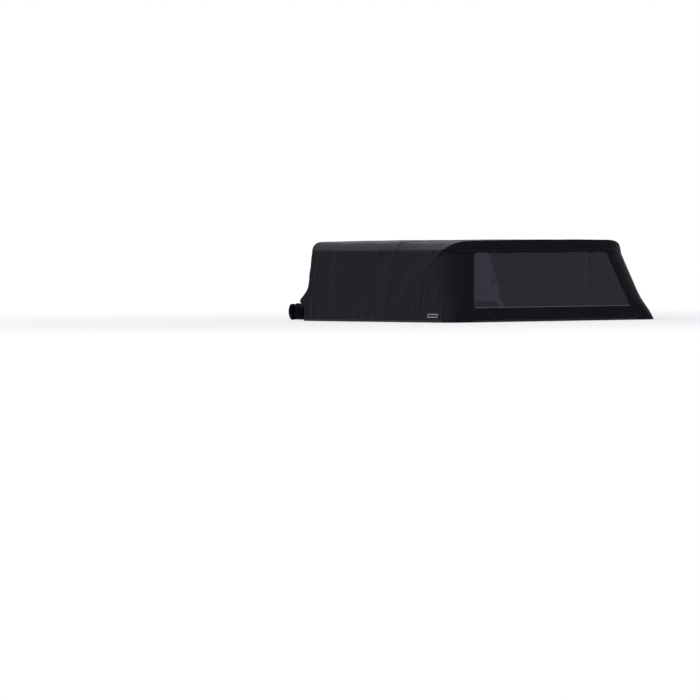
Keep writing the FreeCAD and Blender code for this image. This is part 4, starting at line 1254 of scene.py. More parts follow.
def make_zip(name: str, node: str, path: tuple[Array, Array], finishes: Finishes) -> None:
    """Makes a closed zip along a path: two tapes, a row of teeth, a slider and its pull.

    Args:
        name: the piece's name.
        node: the node that it stands for.
        path: points and outward ways, from foot to top.
        finishes: the canopy's finishes.
    """
    points, normals = path
    tape = bmesh.new()
    ways = unit_rows(np.gradient(points, axis=0))
    sides = np.cross(normals, ways)
    for sign in (-1, 1):
        add_ribbon(tape, points + sides * sign * 3.4 * MM, normals, 5.2 * MM, 0.7 * MM)
    piece = new_object(name, tape, finishes.webbing, "zip", smooth=False)
    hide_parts(node)
    teeth = bmesh.new()
    add_stitches(teeth, points + normals * 0.6 * MM, normals, 4.0 * MM, 2.4 * MM, 3.6 * MM)
    spot, out, way = Vector(points[1]), Vector(normals[1]), Vector(ways[1])
    turn = axes_turn(way, out)
    slider = (15 * MM, 9 * MM, 4 * MM)
    pull = (34 * MM, 6 * MM, 1.6 * MM)
    add_box(teeth, spot + out * 2.2 * MM + way * 12 * MM, slider, turn, 1.2 * MM)
    add_box(teeth, spot + out * 4.4 * MM - way * 6 * MM, pull, turn, 0.7 * MM)
    new_object(f"{name}_teeth", teeth, finishes.plastic, "zip", smooth=False)


def add_buckle(work: bmesh.types.BMesh, straps: bmesh.types.BMesh, spot: Vector,
               along: Vector, out: Vector) -> None:
    """Adds a small side-release buckle and the webbing it hangs on.

    Args:
        work: the bmesh that the buckle's body goes into.
        straps: the bmesh that the webbing goes into.
        spot: the buckle's middle on the cloth.
        along: the way across the buckle.
        out: the way out of the cloth.
    """
    turn = axes_turn(along, out)
    up = out.cross(along).normalized()
    if up.z < 0:
        up = -up
    frame_size = (23 * MM, 9 * MM, 4.6 * MM)
    tongue_size = (18 * MM, 5 * MM, 3.2 * MM)
    prong_size = (3 * MM, 10 * MM, 3.4 * MM)
    webbing_size = (14 * MM, 22 * MM, 1.2 * MM)
    add_box(work, spot + out * 2.4 * MM + up * 1.5 * MM, frame_size, turn, 1.6 * MM, 3)
    add_box(work, spot + out * 2.0 * MM - up * 5.5 * MM, tongue_size, turn, 1.1 * MM)
    for sign in (-1, 1):
        add_box(work, spot + out * 2.4 * MM - up * 1.2 * MM + along * sign * 10.4 * MM,
                prong_size, turn, 1.0 * MM)
    add_box(straps, spot + out * 0.4 * MM - up * 1.0 * MM, webbing_size, turn, 0.4 * MM)


@dataclass
class RoofCloth:
    """The roof, from eave to eave and from the rear bow's ridge to the front edge."""

    finishes: Finishes
    columns: int = 170
    rows: int = 210
    thickness: float = 1.4 * MM
    flat: tuple[float, float] = (1.62, 1.76)
    eave_tilt: float = math.radians(76)
    middle_ridge: float = 2.4 * MM
    middle_crease: float = 2.6 * MM
    crease_width: float = 0.009
    front_ridge: float = 1.8 * MM
    rear_sag: float = 6.0 * MM
    front_sag: float = 3.0 * MM
    bays: tuple[float, float] = (0.22, 1.96)

    def rear_line(self, girth: Array) -> tuple[Array, Array, Array]:
        """The rear bow's line over the roof: half width, place and height.

        Args:
            girth: 0 at the eave, 1 at the middle.

        Returns:
            Half widths, places and heights.
        """
        lift = math.cos(FORM.rear_bow_lean)
        start = (FORM.eave - FORM.pivot_up) / lift
        x, run = FORM.rear_arch.top_curve(girth, start)
        up = FORM.pivot_up + run * lift
        return x, FORM.rear_pivot_y - run * math.sin(FORM.rear_bow_lean), up

    def plain(self, girth: Array, share: Array) -> tuple[Array, Array, Array]:
        """The roof's plain form for shares of girth and of length.

        Args:
            girth: 0 at the eave, 1 at the middle.
            share: 0 at the rear bow, 1 at the front edge.

        Returns:
            Half widths, places and heights.
        """
        back_x, back_y, back_up = self.rear_line(girth)
        mid_x, mid_up = FORM.section.top_curve(girth, FORM.eave)
        front = FORM.front_y(mid_up)
        place = back_y + share * (front - back_y)
        near = np.clip((place - back_y) / (FORM.middle_bow_y - back_y), 0, 1)
        x = back_x + (mid_x - back_x) * near
        up = back_up + (mid_up - back_up) * near
        return x, place, up

    def place(self, u: Array, v: Array) -> Array:
        """Points of the roof for shares across and along it.

        Args:
            u: 0 at the left eave, 1 at the right one.
            v: 0 at the rear bow, 1 at the front edge.

        Returns:
            Rows of X, Y, Z.
        """
        sign = np.where(u < 0.5, -1.0, 1.0)
        girth = np.clip(1 - np.abs(u - 0.5) * 2, 0, 1)
        x, place, up = self.plain(girth, v)
        shoulder = np.clip(girth / SHOULDER_SHARE, 0, 1)
        tilt = (1 - shoulder) * self.eave_tilt
        out_x, out_z = np.sin(tilt), np.cos(tilt)
        hold = edge_fade(girth, 0.06)
        past = place - FORM.middle_bow_y
        front_gap = FORM.front_y(up) - FORM.front_bow_inset - place
        ridge = self.middle_ridge * np.exp(-(past / FORM.ridge_width) ** 2)
        ridge += self.middle_crease * np.exp(-(past / self.crease_width) ** 2)
        ridge += self.front_ridge * np.exp(-(front_gap / FORM.ridge_width) ** 2)
        start, end = self.bays
        rear_share = np.clip((place - start) / (FORM.middle_bow_y - start), 0, 1)
        front_share = np.clip(past / (end - FORM.middle_bow_y), 0, 1)
        sag = np.where(past < 0, self.rear_sag * np.sin(math.pi * rear_share),
                       self.front_sag * np.sin(math.pi * front_share))
        noise = 1.0 * MM * smooth_noise(x * sign * 6 + 9, place * 5, 41)
        noise += 0.5 * MM * smooth_noise(x * sign * 19, place * 15, 42)
        bow_gather = 0.8 * MM * pucker(x * sign, np.abs(past), 0.06, 0.05, 43)
        eave = 0.35 * MM * pucker(place, girth * 0.3, 0.043, 0.03, 33)
        rear_round = -1.5 * MM * np.exp(-(place - self.rear_line(girth)[1]) / 0.007)
        shift = ((ridge - sag + noise + bow_gather) * hold
                 + eave * edge_fade(girth, 0.015) + rear_round * edge_fade(girth - 0.1, 0.2))
        return join_points(sign * (x + shift * out_x), place, up + shift * out_z)

    def build(self) -> None:
        """Makes the roof, its eave seams and its front binding."""
        # the roof's cloth is painted paler to stand in for light from above and sheen on its
        # slope
        piece = dress_sheet(
            "roof_cloth_painted_light", "roof_panel",
            cloth_grid(self.columns, self.rows, self.place, (1.56, 1.76)),
            (self.finishes.roof_cloth_painted_light, "roof_fabric"), Vector((0, 1.0, 0.1)), self.thickness)
        for side in Side:
            self.build_eave(side)
        self.build_front_binding()

    def build_eave(self, side: Side) -> None:
        """Makes the welt that covers the eave seam, with its stitches.

        Args:
            side: which eave.
        """
        share = np.linspace(0.002, 0.998, 300)
        edge = np.full_like(share, 0.0 if side is Side.LEFT else 1.0)
        inner = np.full_like(share, 0.008 if side is Side.LEFT else 0.992)
        low, high = self.place(edge, share), self.place(inner, share)
        out = outward(side, len(share))
        work = bmesh.new()
        add_ribbon(work, low + out * 0.2 * MM, out, 9 * MM, 1.3 * MM)
        new_object(f"{side.word}_eave_welt", work, self.finishes.roof_cloth_painted_light, "roof_fabric",
                   smooth=False)
        stitches = bmesh.new()
        add_stitches(stitches, low + out * 1.5 * MM, out)
        add_stitches(stitches, high + out * 0.3 * MM, out)
        new_object(f"{side.word}_eave_stitches", stitches, self.finishes.thread, "roof_fabric",
                   smooth=False)

    def build_front_binding(self) -> None:
        """Makes the bound front edge over the front bow."""
        u = np.linspace(0.0, 1.0, 260)
        points = self.place(u, np.full_like(u, 0.996))
        _, out = surface_frame(self.place, np.clip(u, 0.002, 0.998), np.full_like(u, 0.99),
                               Vector((0, 0, 1)))
        work = bmesh.new()
        add_ribbon(work, points + out * 0.2 * MM, out, 14 * MM, 1.2 * MM)
        new_object("front_edge_binding", work, self.finishes.webbing, "roof_fabric",
                   smooth=False)


# The rear

@dataclass
class RearCloth:
    """The raked rear: corners, header, curtain with its window, and what hangs there."""

    finishes: Finishes
    roof: RoofCloth
    zip_foot: float = 0.705
    zip_eave: float = 0.570
    window_low: float = 0.102
    window_high: float = 0.489
    window_margin: float = 0.012
    window_radius: float = 0.032
    corner_width: float = 0.28
    top_corner: float = 0.035
    flap_foot: float = 0.4855
    flap_wave: float = 2.4 * MM
    flap_straight: float = 0.74
    thickness: float = 1.4 * MM
    film_thickness: float = 0.8 * MM
    film_lap: float = 3 * MM
    sill_half: float = 0.655
    hem_half: float = 0.703
    hem_up: float = 0.0085
    strap_place: float = 0.395
    strap_length: float = 0.205
    flat: tuple[float, float] = (1.41, 0.536)
    film_flat: tuple[float, float] = (1.34, 0.42)
    corner_flat: tuple[float, float] = (0.30, 0.54)
    inside: Vector = field(default_factory=lambda: Vector((0, 1.2, 0.3)))
    header_flat: tuple[float, float] = (1.55, 0.08)

    def zip_x(self, up: Array | float) -> Array | float:
        """Half width between the rear zips at a height."""
        return self.zip_foot + (self.zip_eave - self.zip_foot) * up / FORM.eave

    def corner_skin(self, share: Array, up: Array) -> tuple[Array, Array]:
        """The corner's plan line from the side zip round to the rear zip.

        Args:
            share: 0 at the side zip, 1 at the rear zip.
            up: heights.

        Returns:
            Half width and place.
        """
        radius = FORM.corner_radius(up)
        centre_x = FORM.wall_x(up) - radius
        centre_y = FORM.rear_y(up) + radius
        lag = np.clip((radius - FORM.zip_depth) / radius, -1, 1)
        first = np.where(lag > 0, np.arcsin(np.clip(lag, 0, 1)), 0.0)
        lead = np.maximum(FORM.zip_depth - radius, 0.0)
        bend = radius * (math.pi / 2 - first)
        flat = centre_x - self.zip_x(up)
        run = share * (lead + bend + np.maximum(flat, 0.0))
        angle = first + np.clip((run - lead) / radius, 0, math.pi / 2 - first)
        x = centre_x + radius * np.cos(angle)
        y = centre_y - radius * np.sin(angle)
        y = y + np.maximum(lead - run, 0.0)
        past = np.maximum(run - lead - bend, 0.0)
        x = np.where(flat < 0, x, x - past)
        squeeze = np.where(flat < 0, (self.zip_x(up) - centre_x) * share ** 3, 0.0)
        return x + squeeze, y

    def corner_place(self, side: Side, u: Array, v: Array) -> Array:
        """Points of one rear corner for shares round it and up it.

        Args:
            side: which corner.
            u: 0 at the side zip, 1 at the rear zip.
            v: 0 at the foot, 1 at the eave.

        Returns:
            Rows of X, Y, Z.
        """
        up = FORM.level(v)
        x, y = self.corner_skin(u, up)
        middle = np.sin(math.pi * np.clip(u, 0, 1))
        seed = 51 if side is Side.LEFT else 52
        hold = middle * edge_fade(FORM.eave - up, 0.05)
        wave = 1.6 * MM * smooth_noise(u * 2.0, up * 6, seed) * hold
        tuck = -2.0 * MM * hold * np.clip((up - 0.1) / 0.3, 0, 1)
        folds = (Fold((0.10, 0.0), (0.17, 0.07), 0.010, 2.6 * MM),
                 Fold((0.085, 0.12), (0.075, 0.44), 0.016, 2.4 * MM),
                 Fold((0.15, 0.06), (0.14, 0.36), 0.014, 1.6 * MM),
                 Fold((0.02, 0.47), (0.16, 0.36), 0.018, 2.0 * MM))
        creases = sum(fold.rise(u * self.corner_width, up) for fold in folds)
        shift = wave + tuck + creases * middle
        turn = u * math.pi / 2
        return join_points(side.value * (x + shift * np.cos(turn)),
                           y - shift * np.sin(turn), up)

    def eave_line(self, girth: Array) -> tuple[Array, Array]:
        """The rear's line at eave height that lies under the rear bow's line.

        Args:
            girth: 0 at the side, 1 at the middle.

        Returns:
            Half widths and places.
        """
        up = np.full_like(girth, FORM.eave)
        radius = FORM.corner_radius(up)
        centre_x = FORM.wall_x(up) - radius
        centre_y = FORM.rear_y(up) + radius
        bow_y = FORM.bow_y(up)
        first = np.arcsin(np.clip((centre_y - bow_y) / radius, 0, 1))
        angle = first + np.clip(girth / SHOULDER_SHARE, 0, 1) * (math.pi / 2 - first)
        share = np.clip((girth - SHOULDER_SHARE) / (1 - SHOULDER_SHARE), 0, 1)
        step = FORM.bow_x(up) - FORM.corner_x(bow_y, up)
        fade = 1 - np.clip(girth / SHOULDER_SHARE, 0, 1)
        x = centre_x + radius * np.cos(angle) + step * fade
        return np.where(girth > SHOULDER_SHARE, centre_x * (1 - share), x), (
            centre_y - radius * np.sin(angle))

    def header_place(self, u: Array, v: Array) -> Array:
        """Points of the header for shares across it and up it.

        Args:
            u: 0 at the left eave, 1 at the right one.
            v: 0 at the eave line, 1 at the rear bow.

        Returns:
            Rows of X, Y, Z.
        """
        sign = np.where(u < 0.5, -1.0, 1.0)
        girth = np.clip(1 - np.abs(u - 0.5) * 2, 0, 1)
        low_x, low_y = self.eave_line(girth)
        top_x, top_y, top_up = self.roof.rear_line(girth)
        x = low_x + (top_x - low_x) * v
        y = low_y + (top_y - low_y) * v
        up = FORM.eave + (top_up - FORM.eave) * v
        hold = edge_fade(girth - 0.1, 0.2)
        up = up - 1.5 * MM * np.exp(-(1 - v) / 0.12) * hold
        y = y - 2.0 * MM * np.sin(math.pi * v) * hold
        y = y - 0.7 * MM * pucker(x * sign, v * 0.06, 0.05, 0.03, 61) * np.sin(math.pi * v)
        return join_points(sign * x, y, up)

    def flap_place(self, u: Array, v: Array) -> Array:
        """Points of the header's loose lower edge, which laps over corners and window.

        Args:
            u: 0 at the left side zip, 1 at the right one.
            v: 0 at the wavy edge, 1 at the eave seam.

        Returns:
            Rows of X, Y, Z.
        """
        sign = np.where(u < 0.5, -1.0, 1.0)
        out = np.abs(u - 0.5) * 2
        corner = np.clip((1.1 - 1.1 * out) / (1 - self.flap_straight) - 0.1, -0.1, 1)
        middle = np.clip(out / self.flap_straight, 0, 1)
        wave = smooth_noise(u * 23, u * 0 + 4, 64) + 0.6 * smooth_noise(u * 61, u * 0 + 1, 65)
        low = self.flap_foot + self.flap_wave * wave
        up = low + v * (FORM.eave + 3 * MM - low)
        round_x, round_y = self.corner_skin(corner, up)
        on_face = out <= self.flap_straight
        x = np.where(on_face, self.zip_x(up) * middle, round_x)
        y = np.where(on_face, FORM.rear_y(up), round_y)
        lift = 2.2 * MM + 1.6 * MM * (1 - v) * (0.4 + 0.6 * np.abs(wave))
        turn = np.where(on_face, math.pi / 2, np.maximum(corner, 0) * math.pi / 2)
        return join_points(sign * (x + lift * np.cos(turn)), y - lift * np.sin(turn), up)

    def build_flap(self) -> None:
        """Makes the header's lower flap with its line of stitches."""
        # the flap uses the darker rear cloth, whose colour holds painted shade
        dress_sheet("rear_header_flap", None,
                    cloth_grid(330, 5, self.flap_place, (1.62, 0.022)),
                    (self.finishes.rear_cloth_painted_shade, "coated_fabric"), self.inside, self.thickness)
        u = np.linspace(0.01, 0.99, 320)
        points = self.flap_place(u, np.full_like(u, 0.82))
        out = unit_rows(points - np.array(self.inside))
        stitches = bmesh.new()
        add_stitches(stitches, points + out * 0.2 * MM, out)
        new_object("rear_header_stitches", stitches, self.finishes.thread, "coated_fabric",
                   smooth=False)

    def curtain_ring(self, count: int) -> tuple[Array, Array]:
        """The window's outline and the curtain's, as matching loops of X and height.

        Args:
            count: points along the sill.

        Returns:
            The window's loop and the curtain's loop.
        """
        low, high = self.window_low, self.window_high
        inner, outer = [], []
        top, foot = FORM.eave, FORM.foot_edge
        rounds = 16
        # how much of the curtain's edge pairs with the straight side of the window
        climb = 0.93
        half_low = self.zip_x(low) - self.window_margin
        half_high = self.zip_x(high) - self.window_margin
        radius = self.window_radius
        for share in np.linspace(-1, 1, count, endpoint=False):
            inner.append((half_low * share, low))
            outer.append((self.zip_foot * share, foot))
        for share in np.linspace(0, 1, count // 2, endpoint=False):
            reach = low + share * (high - radius - low)
            half = half_low + (half_high - half_low) * (reach - low) / (high - low)
            inner.append((half, reach))
            level = foot + share * (top - foot) * climb
            outer.append((self.zip_x(level), level))
        for share in np.linspace(0, 1, rounds, endpoint=False):
            angle = share * math.pi / 2
            level = high - radius * (1 - math.sin(angle))
            edge = half_high + (half_low - half_high) * (high - level) / (high - low)
            inner.append((edge - radius * (1 - math.cos(angle)), level))
            if share < 0.5:
                level = foot + (top - foot) * (climb + 2 * (1 - climb) * share)
                outer.append((self.zip_x(level), level))
            else:
                outer.append((self.zip_eave - (share - 0.5) * 2 * self.top_corner, top))
        for share in np.linspace(0, 1, count, endpoint=False):
            inner.append(((half_high - radius) * (1 - 2 * share), high))
            outer.append(((self.zip_eave - self.top_corner) * (1 - 2 * share), top))
        right = slice(count, count + count // 2 + rounds)
        inner, outer = (
            np.concatenate([np.array(loop), np.array(loop[right])[::-1] * np.array([-1, 1])])
            for loop in (inner, outer))
        return inner, outer

    def rear_points(self, flat: Array, proud: Array | float = 0.0) -> Array:
        """Points on the rear face from X and height, moved out of it by a distance.

        Args:
            flat: rows of X and height.
            proud: how far out of the face.

        Returns:
            Rows of X, Y, Z.
        """
        rake = math.atan(FORM.rear_slope)
        y = FORM.rear_y(flat[..., 1]) - proud * math.cos(rake)
        return join_points(flat[..., 0], y, flat[..., 1] + proud * math.sin(rake))

    def cloth_relief(self, flat: Array) -> Array:
        """How far the curtain's cloth stands off the rear face.

        Args:
            flat: rows of X and height.

        Returns:
            The distances.
        """
        x, up = flat[..., 0], flat[..., 1]
        low = 1.6 * MM * pucker(x, up, 0.07, 0.06, 71)
        pull = 1.4 * MM * smooth_noise(x * 7, up * 14, 72) * edge_fade(0.11 - up, 0.05)
        zip_gap = np.abs(self.zip_x(up) - np.abs(x))
        folds = Fold((0.52, 0.0), (0.60, 0.10), 0.02, 3.5 * MM).rise(np.abs(x), up)
        folds = folds + Fold((0.30, 0.03), (0.16, 0.095), 0.016, 2.2 * MM).rise(x, up)
        folds = folds + Fold((-0.42, 0.0), (-0.30, 0.09), 0.018, 2.4 * MM).rise(x, up)
        return (low + pull + folds) * edge_fade(zip_gap, 0.02) * edge_fade(FORM.eave - up, 0.02)

    def ring_place(self, loops: tuple[Array, Array], u: Array, v: Array) -> Array:
        """Points of the curtain between the window's loop and its own.

        Args:
            loops: the window's loop and the curtain's loop, as rows of X and height.
            u: shares round the loops.
            v: 0 at the window, 1 at the curtain's edge.

        Returns:
            Rows of X, Y, Z.
        """
        count = len(loops[0])
        near, far = (
            np.stack([np.interp(u * count, np.arange(count + 1), np.append(row, row[0]))
                      for row in loop.T], -1)
            for loop in loops)
        flat = near + (far - near) * v[:, None]
        return self.rear_points(flat, self.cloth_relief(flat))

    def build_curtain(self) -> None:
        """Makes the fabric frame round the window."""
        inner, outer = self.curtain_ring(150)
        work = cloth_grid(len(inner), 18, partial(self.ring_place, (inner, outer)), (1.0, 1.0))
        bmesh.ops.remove_doubles(work, verts=work.verts, dist=SEAM_GAP)
        chart = work.loops.layers.uv["cloth"]
        for face in work.faces:
            for corner in face.loops:
                corner[chart].uv = (corner.vert.co.x, corner.vert.co.z)
        # the curtain uses the darker rear cloth, whose colour holds painted shade
        piece = dress_sheet("rear_curtain_cloth", "rear_curtain", work,
                            (self.finishes.rear_cloth_painted_shade, "coated_fabric"),
                            self.inside, self.thickness)
        # the cut without its window is 0.18 square metres; this is the least that can be stated
        self.build_film(inner)
        seam = bmesh.new()
        ring = inner + (outer - inner) * 0.12
        loop = np.concatenate([ring, ring[:1]])
        points = self.rear_points(loop, self.cloth_relief(loop) + 0.1 * MM)
        add_stitches(seam, points, np.tile(FORM.rear_out, (len(loop), 1)))
        new_object("window_seam_stitches", seam, self.finishes.thread, "coated_fabric",
                   smooth=False)

    def film_place(self, u: Array, v: Array) -> Array:
        """Points of the window film for shares across it and up it.

        Args:
            u: 0 at its left edge, 1 at its right one.
            v: 0 at its foot, 1 at its top.

        Returns:
            Rows of X, Y, Z.
        """
        lap = self.film_lap
        up = self.window_low - lap + v * (self.window_high - self.window_low + 2 * lap)
        half = self.zip_x(up) - self.window_margin + lap
        corner = self.window_radius - lap
        over = np.clip((up - (self.window_high - corner)) / corner, 0, 1)
        half = half - corner * (1 - np.sqrt(np.maximum(1 - over ** 2, 0)))
        x = (u * 2 - 1) * half
        level_gap = np.minimum(up - self.window_low, self.window_high - up)
        gap = np.minimum(half - np.abs(x), level_gap)
        ripple = 2.6 * MM * smooth_noise(x * 3.6, up * 5.0, 81)
        ripple = ripple + 1.2 * MM * smooth_noise(x * 9, up * 3.5, 82)
        hem = 1.5 * MM * pucker(x, self.window_high - up, 0.09, 0.05, 83)
        proud = -2.2 * MM + ripple * edge_fade(gap, 0.05) + hem * edge_fade(gap, 0.02)
        return self.rear_points(np.stack([x, up], axis=-1), proud)

    def build_film(self, inner: Array) -> None:
        """Makes the tinted window film, slightly rippled, with the piping along its sill.

        Args:
            inner: the window's loop, as rows of X and height.
        """
        width = float((inner[:, 0] * 1.004).max()) * 2
        piece = dress_sheet("rear_window_film", "rear_window",
                            cloth_grid(150, 60, self.film_place, (width, 0.41)),
                            (self.finishes.film, "window_film"), self.inside,
                            self.film_thickness)
        strip = bmesh.new()
        across = np.linspace(-self.sill_half, self.sill_half, 220)
        flat = np.stack([across, np.full_like(across, self.window_low - 1 * MM)], axis=-1)
        out = np.tile(FORM.rear_out, (len(across), 1))
        add_ribbon(strip, self.rear_points(flat, 0.3 * MM), out, 5.0 * MM, 1.4 * MM)
        new_object("window_sill_piping", strip, self.finishes.piping, "zip", smooth=False)

    def build_zips(self) -> None:
        """Makes the two zips between curtain and corners, which share a node."""
        up = np.linspace(ZIP_FOOT, FORM.eave - 0.003, 80)
        for side in Side:
            flat = np.stack([side.value * self.zip_x(up), up], axis=-1)
            path = (self.rear_points(flat, 0.2 * MM), np.tile(FORM.rear_out, (len(up), 1)))
            make_zip(f"{side.word}_rear_curtain_zip", "rear_curtain_zips", path,
                     self.finishes)

    def build_straps(self) -> None:
        """Makes the header's buckles and the pale straps that hang inside the window."""
        out = Vector(FORM.rear_out)
        work, straps = bmesh.new(), bmesh.new()
        up = FORM.eave - 8 * MM
        for side in Side:
            spot = Vector((side.value * self.strap_place, FORM.rear_y(up), up))
            add_buckle(work, straps, spot + out * 1.2 * MM, Vector((1, 0, 0)), out)
        buckles = new_object("rear_strap_buckle_set", work, self.finishes.plastic, "buckle")
        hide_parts("rear_strap_buckles")
        new_object("rear_strap_buckle_webbing", straps, self.finishes.webbing, "webbing",
                   smooth=False)
        for side in Side:
            self.build_hanging_strap(side)

    def build_hanging_strap(self, side: Side) -> None:
        """Makes one pale strap with the folded end and ring at its foot.

        Args:
            side: which strap.
        """
        top = FORM.eave - 1 * MM
        start_y = FORM.rear_y(top) + 3.4 * MM
        up = np.linspace(top, top - self.strap_length, 60)
        drop = (top - up) / self.strap_length
        x = side.value * self.strap_place + 1.5 * MM * np.sin(drop * 5)
        y = start_y + 1.2 * MM + 2.0 * MM * np.sin(drop * 3.1) * drop
        points = join_points(x, y, up)
        out = np.tile([0.0, -1.0, 0.0], (len(up), 1))
        work = bmesh.new()
        add_ribbon(work, points, out, 21 * MM, 1.4 * MM)
        strap = new_object(f"{side.word}_hanging_strap", work, self.finishes.pale_webbing,
                           "pale_webbing", smooth=False)
        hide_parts(f"{side.word}_rear_strap")
        fitting = bmesh.new()
        foot = Vector((side.value * self.strap_place, start_y + 2.5 * MM,
                       top - self.strap_length - 17 * MM))
        bar = foot + Vector((0, -2 * MM, 4 * MM))
        add_box(fitting, foot, (34 * MM, 4.5 * MM, 34 * MM), None, 2 * MM, 3)
        add_box(fitting, bar, (22 * MM, 3 * MM, 8 * MM), None, 1 * MM)
        new_object(f"{side.word}_strap_fitting", fitting, self.finishes.pale_webbing,
                   "pale_webbing")

    def build_hem(self) -> None:
        """Makes the folded band along the foot of the rear curtain."""
        x = np.linspace(-self.hem_half, self.hem_half, 220)
        out = np.tile(FORM.rear_out, (len(x), 1))
        flat = np.stack([x, np.full_like(x, self.hem_up)], axis=-1)
        points = self.rear_points(flat, self.cloth_relief(flat))
        work = bmesh.new()
        # the hem band's paler grey is a painted highlight along its turned edge
        add_ribbon(work, points, out, HEM_WIDTH, 0.9 * MM)
        hem = new_object("rear_hem_band", work, self.finishes.hem, "hem", smooth=False)
        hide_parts("rear_bottom_hem")

    def build(self) -> None:
        """Makes everything on the rear face."""
        for side in Side:
            place = partial(self.corner_place, side)
            piece = dress_sheet(f"{side.word}_corner_cloth", f"{side.word}_rear_corner",
                                cloth_grid(70, 110, place, (0.28, 0.536)),
                                (self.finishes.side_cloth, "coated_fabric"),
                                self.inside, self.thickness)
        # header, flap and curtain use the darker rear cloth, whose colour holds painted shade
        header = dress_sheet("rear_header_cloth", "rear_header",
                             cloth_grid(260, 26, self.header_place, (1.50, 0.066)),
                             (self.finishes.rear_cloth_painted_shade, "coated_fabric"),
                             self.inside, self.thickness)
        self.build_flap()
        self.build_curtain()
        self.build_zips()
        self.build_straps()
        self.build_hem()


# The rolled front curtain

@dataclass
class RolledCurtain:
    """The front curtain, rolled down into a bundle and tied, with its flap."""

    finishes: Finishes
    middle_y: float = 2.085
    middle_up: float = 0.0641
    radius: float = 0.0605
    half_length: float = 0.872
    turns: float = 2.25
    columns: int = 120
    rows: int = 190
    thickness: float = 1.4 * MM
    tie_places: tuple[float, ...] = (-0.832, -0.28, 0.28, 0.832)
    tie_width: float = 27 * MM
    flap_half: float = 0.824
    flap_span: tuple[float, float] = (1.871, 2.033)
    flap_up: float = 0.0243
    flat: tuple[float, float] = (1.745, 0.71)
    flap_flat: tuple[float, float] = (1.65, 0.163)

    def radius_at(self, x: Array, angle: Array) -> Array:
        """The bundle's radius along its length and round it.

        Args:
            x: places along the bundle.
            angle: angles round it.

        Returns:
            The radii.
        """
        squeeze = sum(np.exp(-((x - tie) / 0.022) ** 2) for tie in self.tie_places)
        loose = smooth_noise(x * 4 + 7, angle * 0 + 2, 91) * 0.02
        ripples = 0.013 * smooth_noise(x * 16, angle * 2.2 / math.pi * 2, 92)
        flat = 0.018 * np.cos(2 * angle + 0.6)
        return self.radius * (1 - 0.07 * squeeze + loose + ripples + flat
                              - 0.012 * np.abs(np.sin(angle * 2.5)))

    def place(self, u: Array, v: Array) -> Array:
        """Points of the rolled cloth for shares along the bundle and into its coil.

        Args:
            u: 0 at the left end, 1 at the right one.
            v: 0 at the outer turn's start, 1 at the cloth's end inside.

        Returns:
            Rows of X, Y, Z.
        """
        x = (u * 2 - 1) * self.half_length
        turn = v * self.turns
        angle = -turn * 2 * math.pi - math.pi * 0.5
        layer = 1 - 0.03 * turn - 0.42 * edge_fade(turn - 0.95, 1.25)
        radius = self.radius_at(x, np.mod(angle, 2 * math.pi)) * layer
        uneven = 5 * MM * smooth_noise(angle * 0 + 1, v * 9, 94) * np.abs(u * 2 - 1) ** 8
        y = self.middle_y + radius * np.cos(angle)
        up = self.middle_up + radius * np.sin(angle)
        return join_points(x + np.sign(x) * uneven, y, np.maximum(up, 2.2 * MM))

    def build(self) -> None:
        """Makes the bundle's coil, its ties and the flap that feeds it."""
        work = cloth_grid(self.columns, self.rows, self.place, (1.74, 1.0))
        work.normal_update()
        roll = new_object("front_curtain_bundle", work, self.finishes.side_cloth,
                          "coated_fabric")
        thicken(roll, self.thickness, 0.0)
        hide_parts("front_curtain_roll")
        ties = bmesh.new()
        angle = np.linspace(0, 2 * math.pi, 73)
        turn = axes_turn(Vector((1, 0, 0)), Vector((0, -0.33, 0.94)))
        buckle_up = self.middle_up + self.radius - 3.2 * MM
        for tie in self.tie_places:
            x = np.full_like(angle, tie)
            reach = self.radius_at(x, angle) + 1.0 * MM
            up = np.maximum(self.middle_up + reach * np.sin(angle), 1.4 * MM)
            points = join_points(x, self.middle_y + reach * np.cos(angle), up)
            out = join_points(x * 0, np.cos(angle), np.sin(angle))
            add_ribbon(ties, points, out, self.tie_width, 1.4 * MM)
            add_box(ties, Vector((tie, self.middle_y - 0.02, buckle_up)),
                    (30 * MM, 16 * MM, 5 * MM), turn, 1.4 * MM)
        bands = new_object("front_roll_tie_bands", ties, self.finishes.webbing, "webbing",
                           smooth=False)
        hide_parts("front_roll_ties")
        self.build_flap()

    def flap_place(self, u: Array, v: Array) -> Array:
        """Points of the flap for shares across it and ahead.

        Args:
            u: 0 at the left edge, 1 at the right one.
            v: 0 at the front bar, 1 at the bundle.

        Returns:
            Rows of X, Y, Z.
        """
        start, end = self.flap_span
        x = (u * 2 - 1) * self.flap_half
        y = start + v * (end - start)
        sag = np.sin(math.pi * v)
        up = self.flap_up - 1.8 * MM * sag + 2.5 * MM * v ** 3
        return join_points(x, y, up + 1.0 * MM * smooth_noise(x * 9, y * 12, 95) * sag)

    def build_flap(self) -> None:
        """Makes the stretch of cloth between the front bar and the bundle."""
        work = cloth_grid(200, 26, self.flap_place, (1.65, 0.16))
        work.normal_update()
        flap = new_object("front_flap_cloth", work, self.finishes.side_cloth,
                          "coated_fabric")
        thicken(flap, self.thickness, 0.0)
        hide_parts("front_curtain_flap")


# Metalwork from the frame

@dataclass
class Metalwork:
    """Rails, bars, brackets, bows and bolts, which keep their frame solids."""

    finishes: Finishes

    def build(self) -> None:
        """Gives every metal node its finish."""
        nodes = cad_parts
        choices = {f"{place}_bow": self.finishes.tube for place in ("rear", "middle", "front")}
        choices |= {f"{place}_bar": self.finishes.rail for place in ("rear", "front")}
        for side in Side:
            word = side.word
            choices[f"{word}_side_rail"] = self.finishes.rail
            choices[f"{word}_roof_strap"] = self.finishes.webbing
            choices[f"{word}_bow_bolts"] = self.finishes.bolt
            for part in ("rear_corner_bracket", "pivot_bracket", "front_bow_bracket"):
                choices[f"{word}_{part}"] = self.finishes.bracket
        for name, material in choices.items():
            mesh = nodes[name].data
            mesh.materials.clear()
            mesh.materials.append(material)
            LOG.info("%s dressed", name)


# Studio

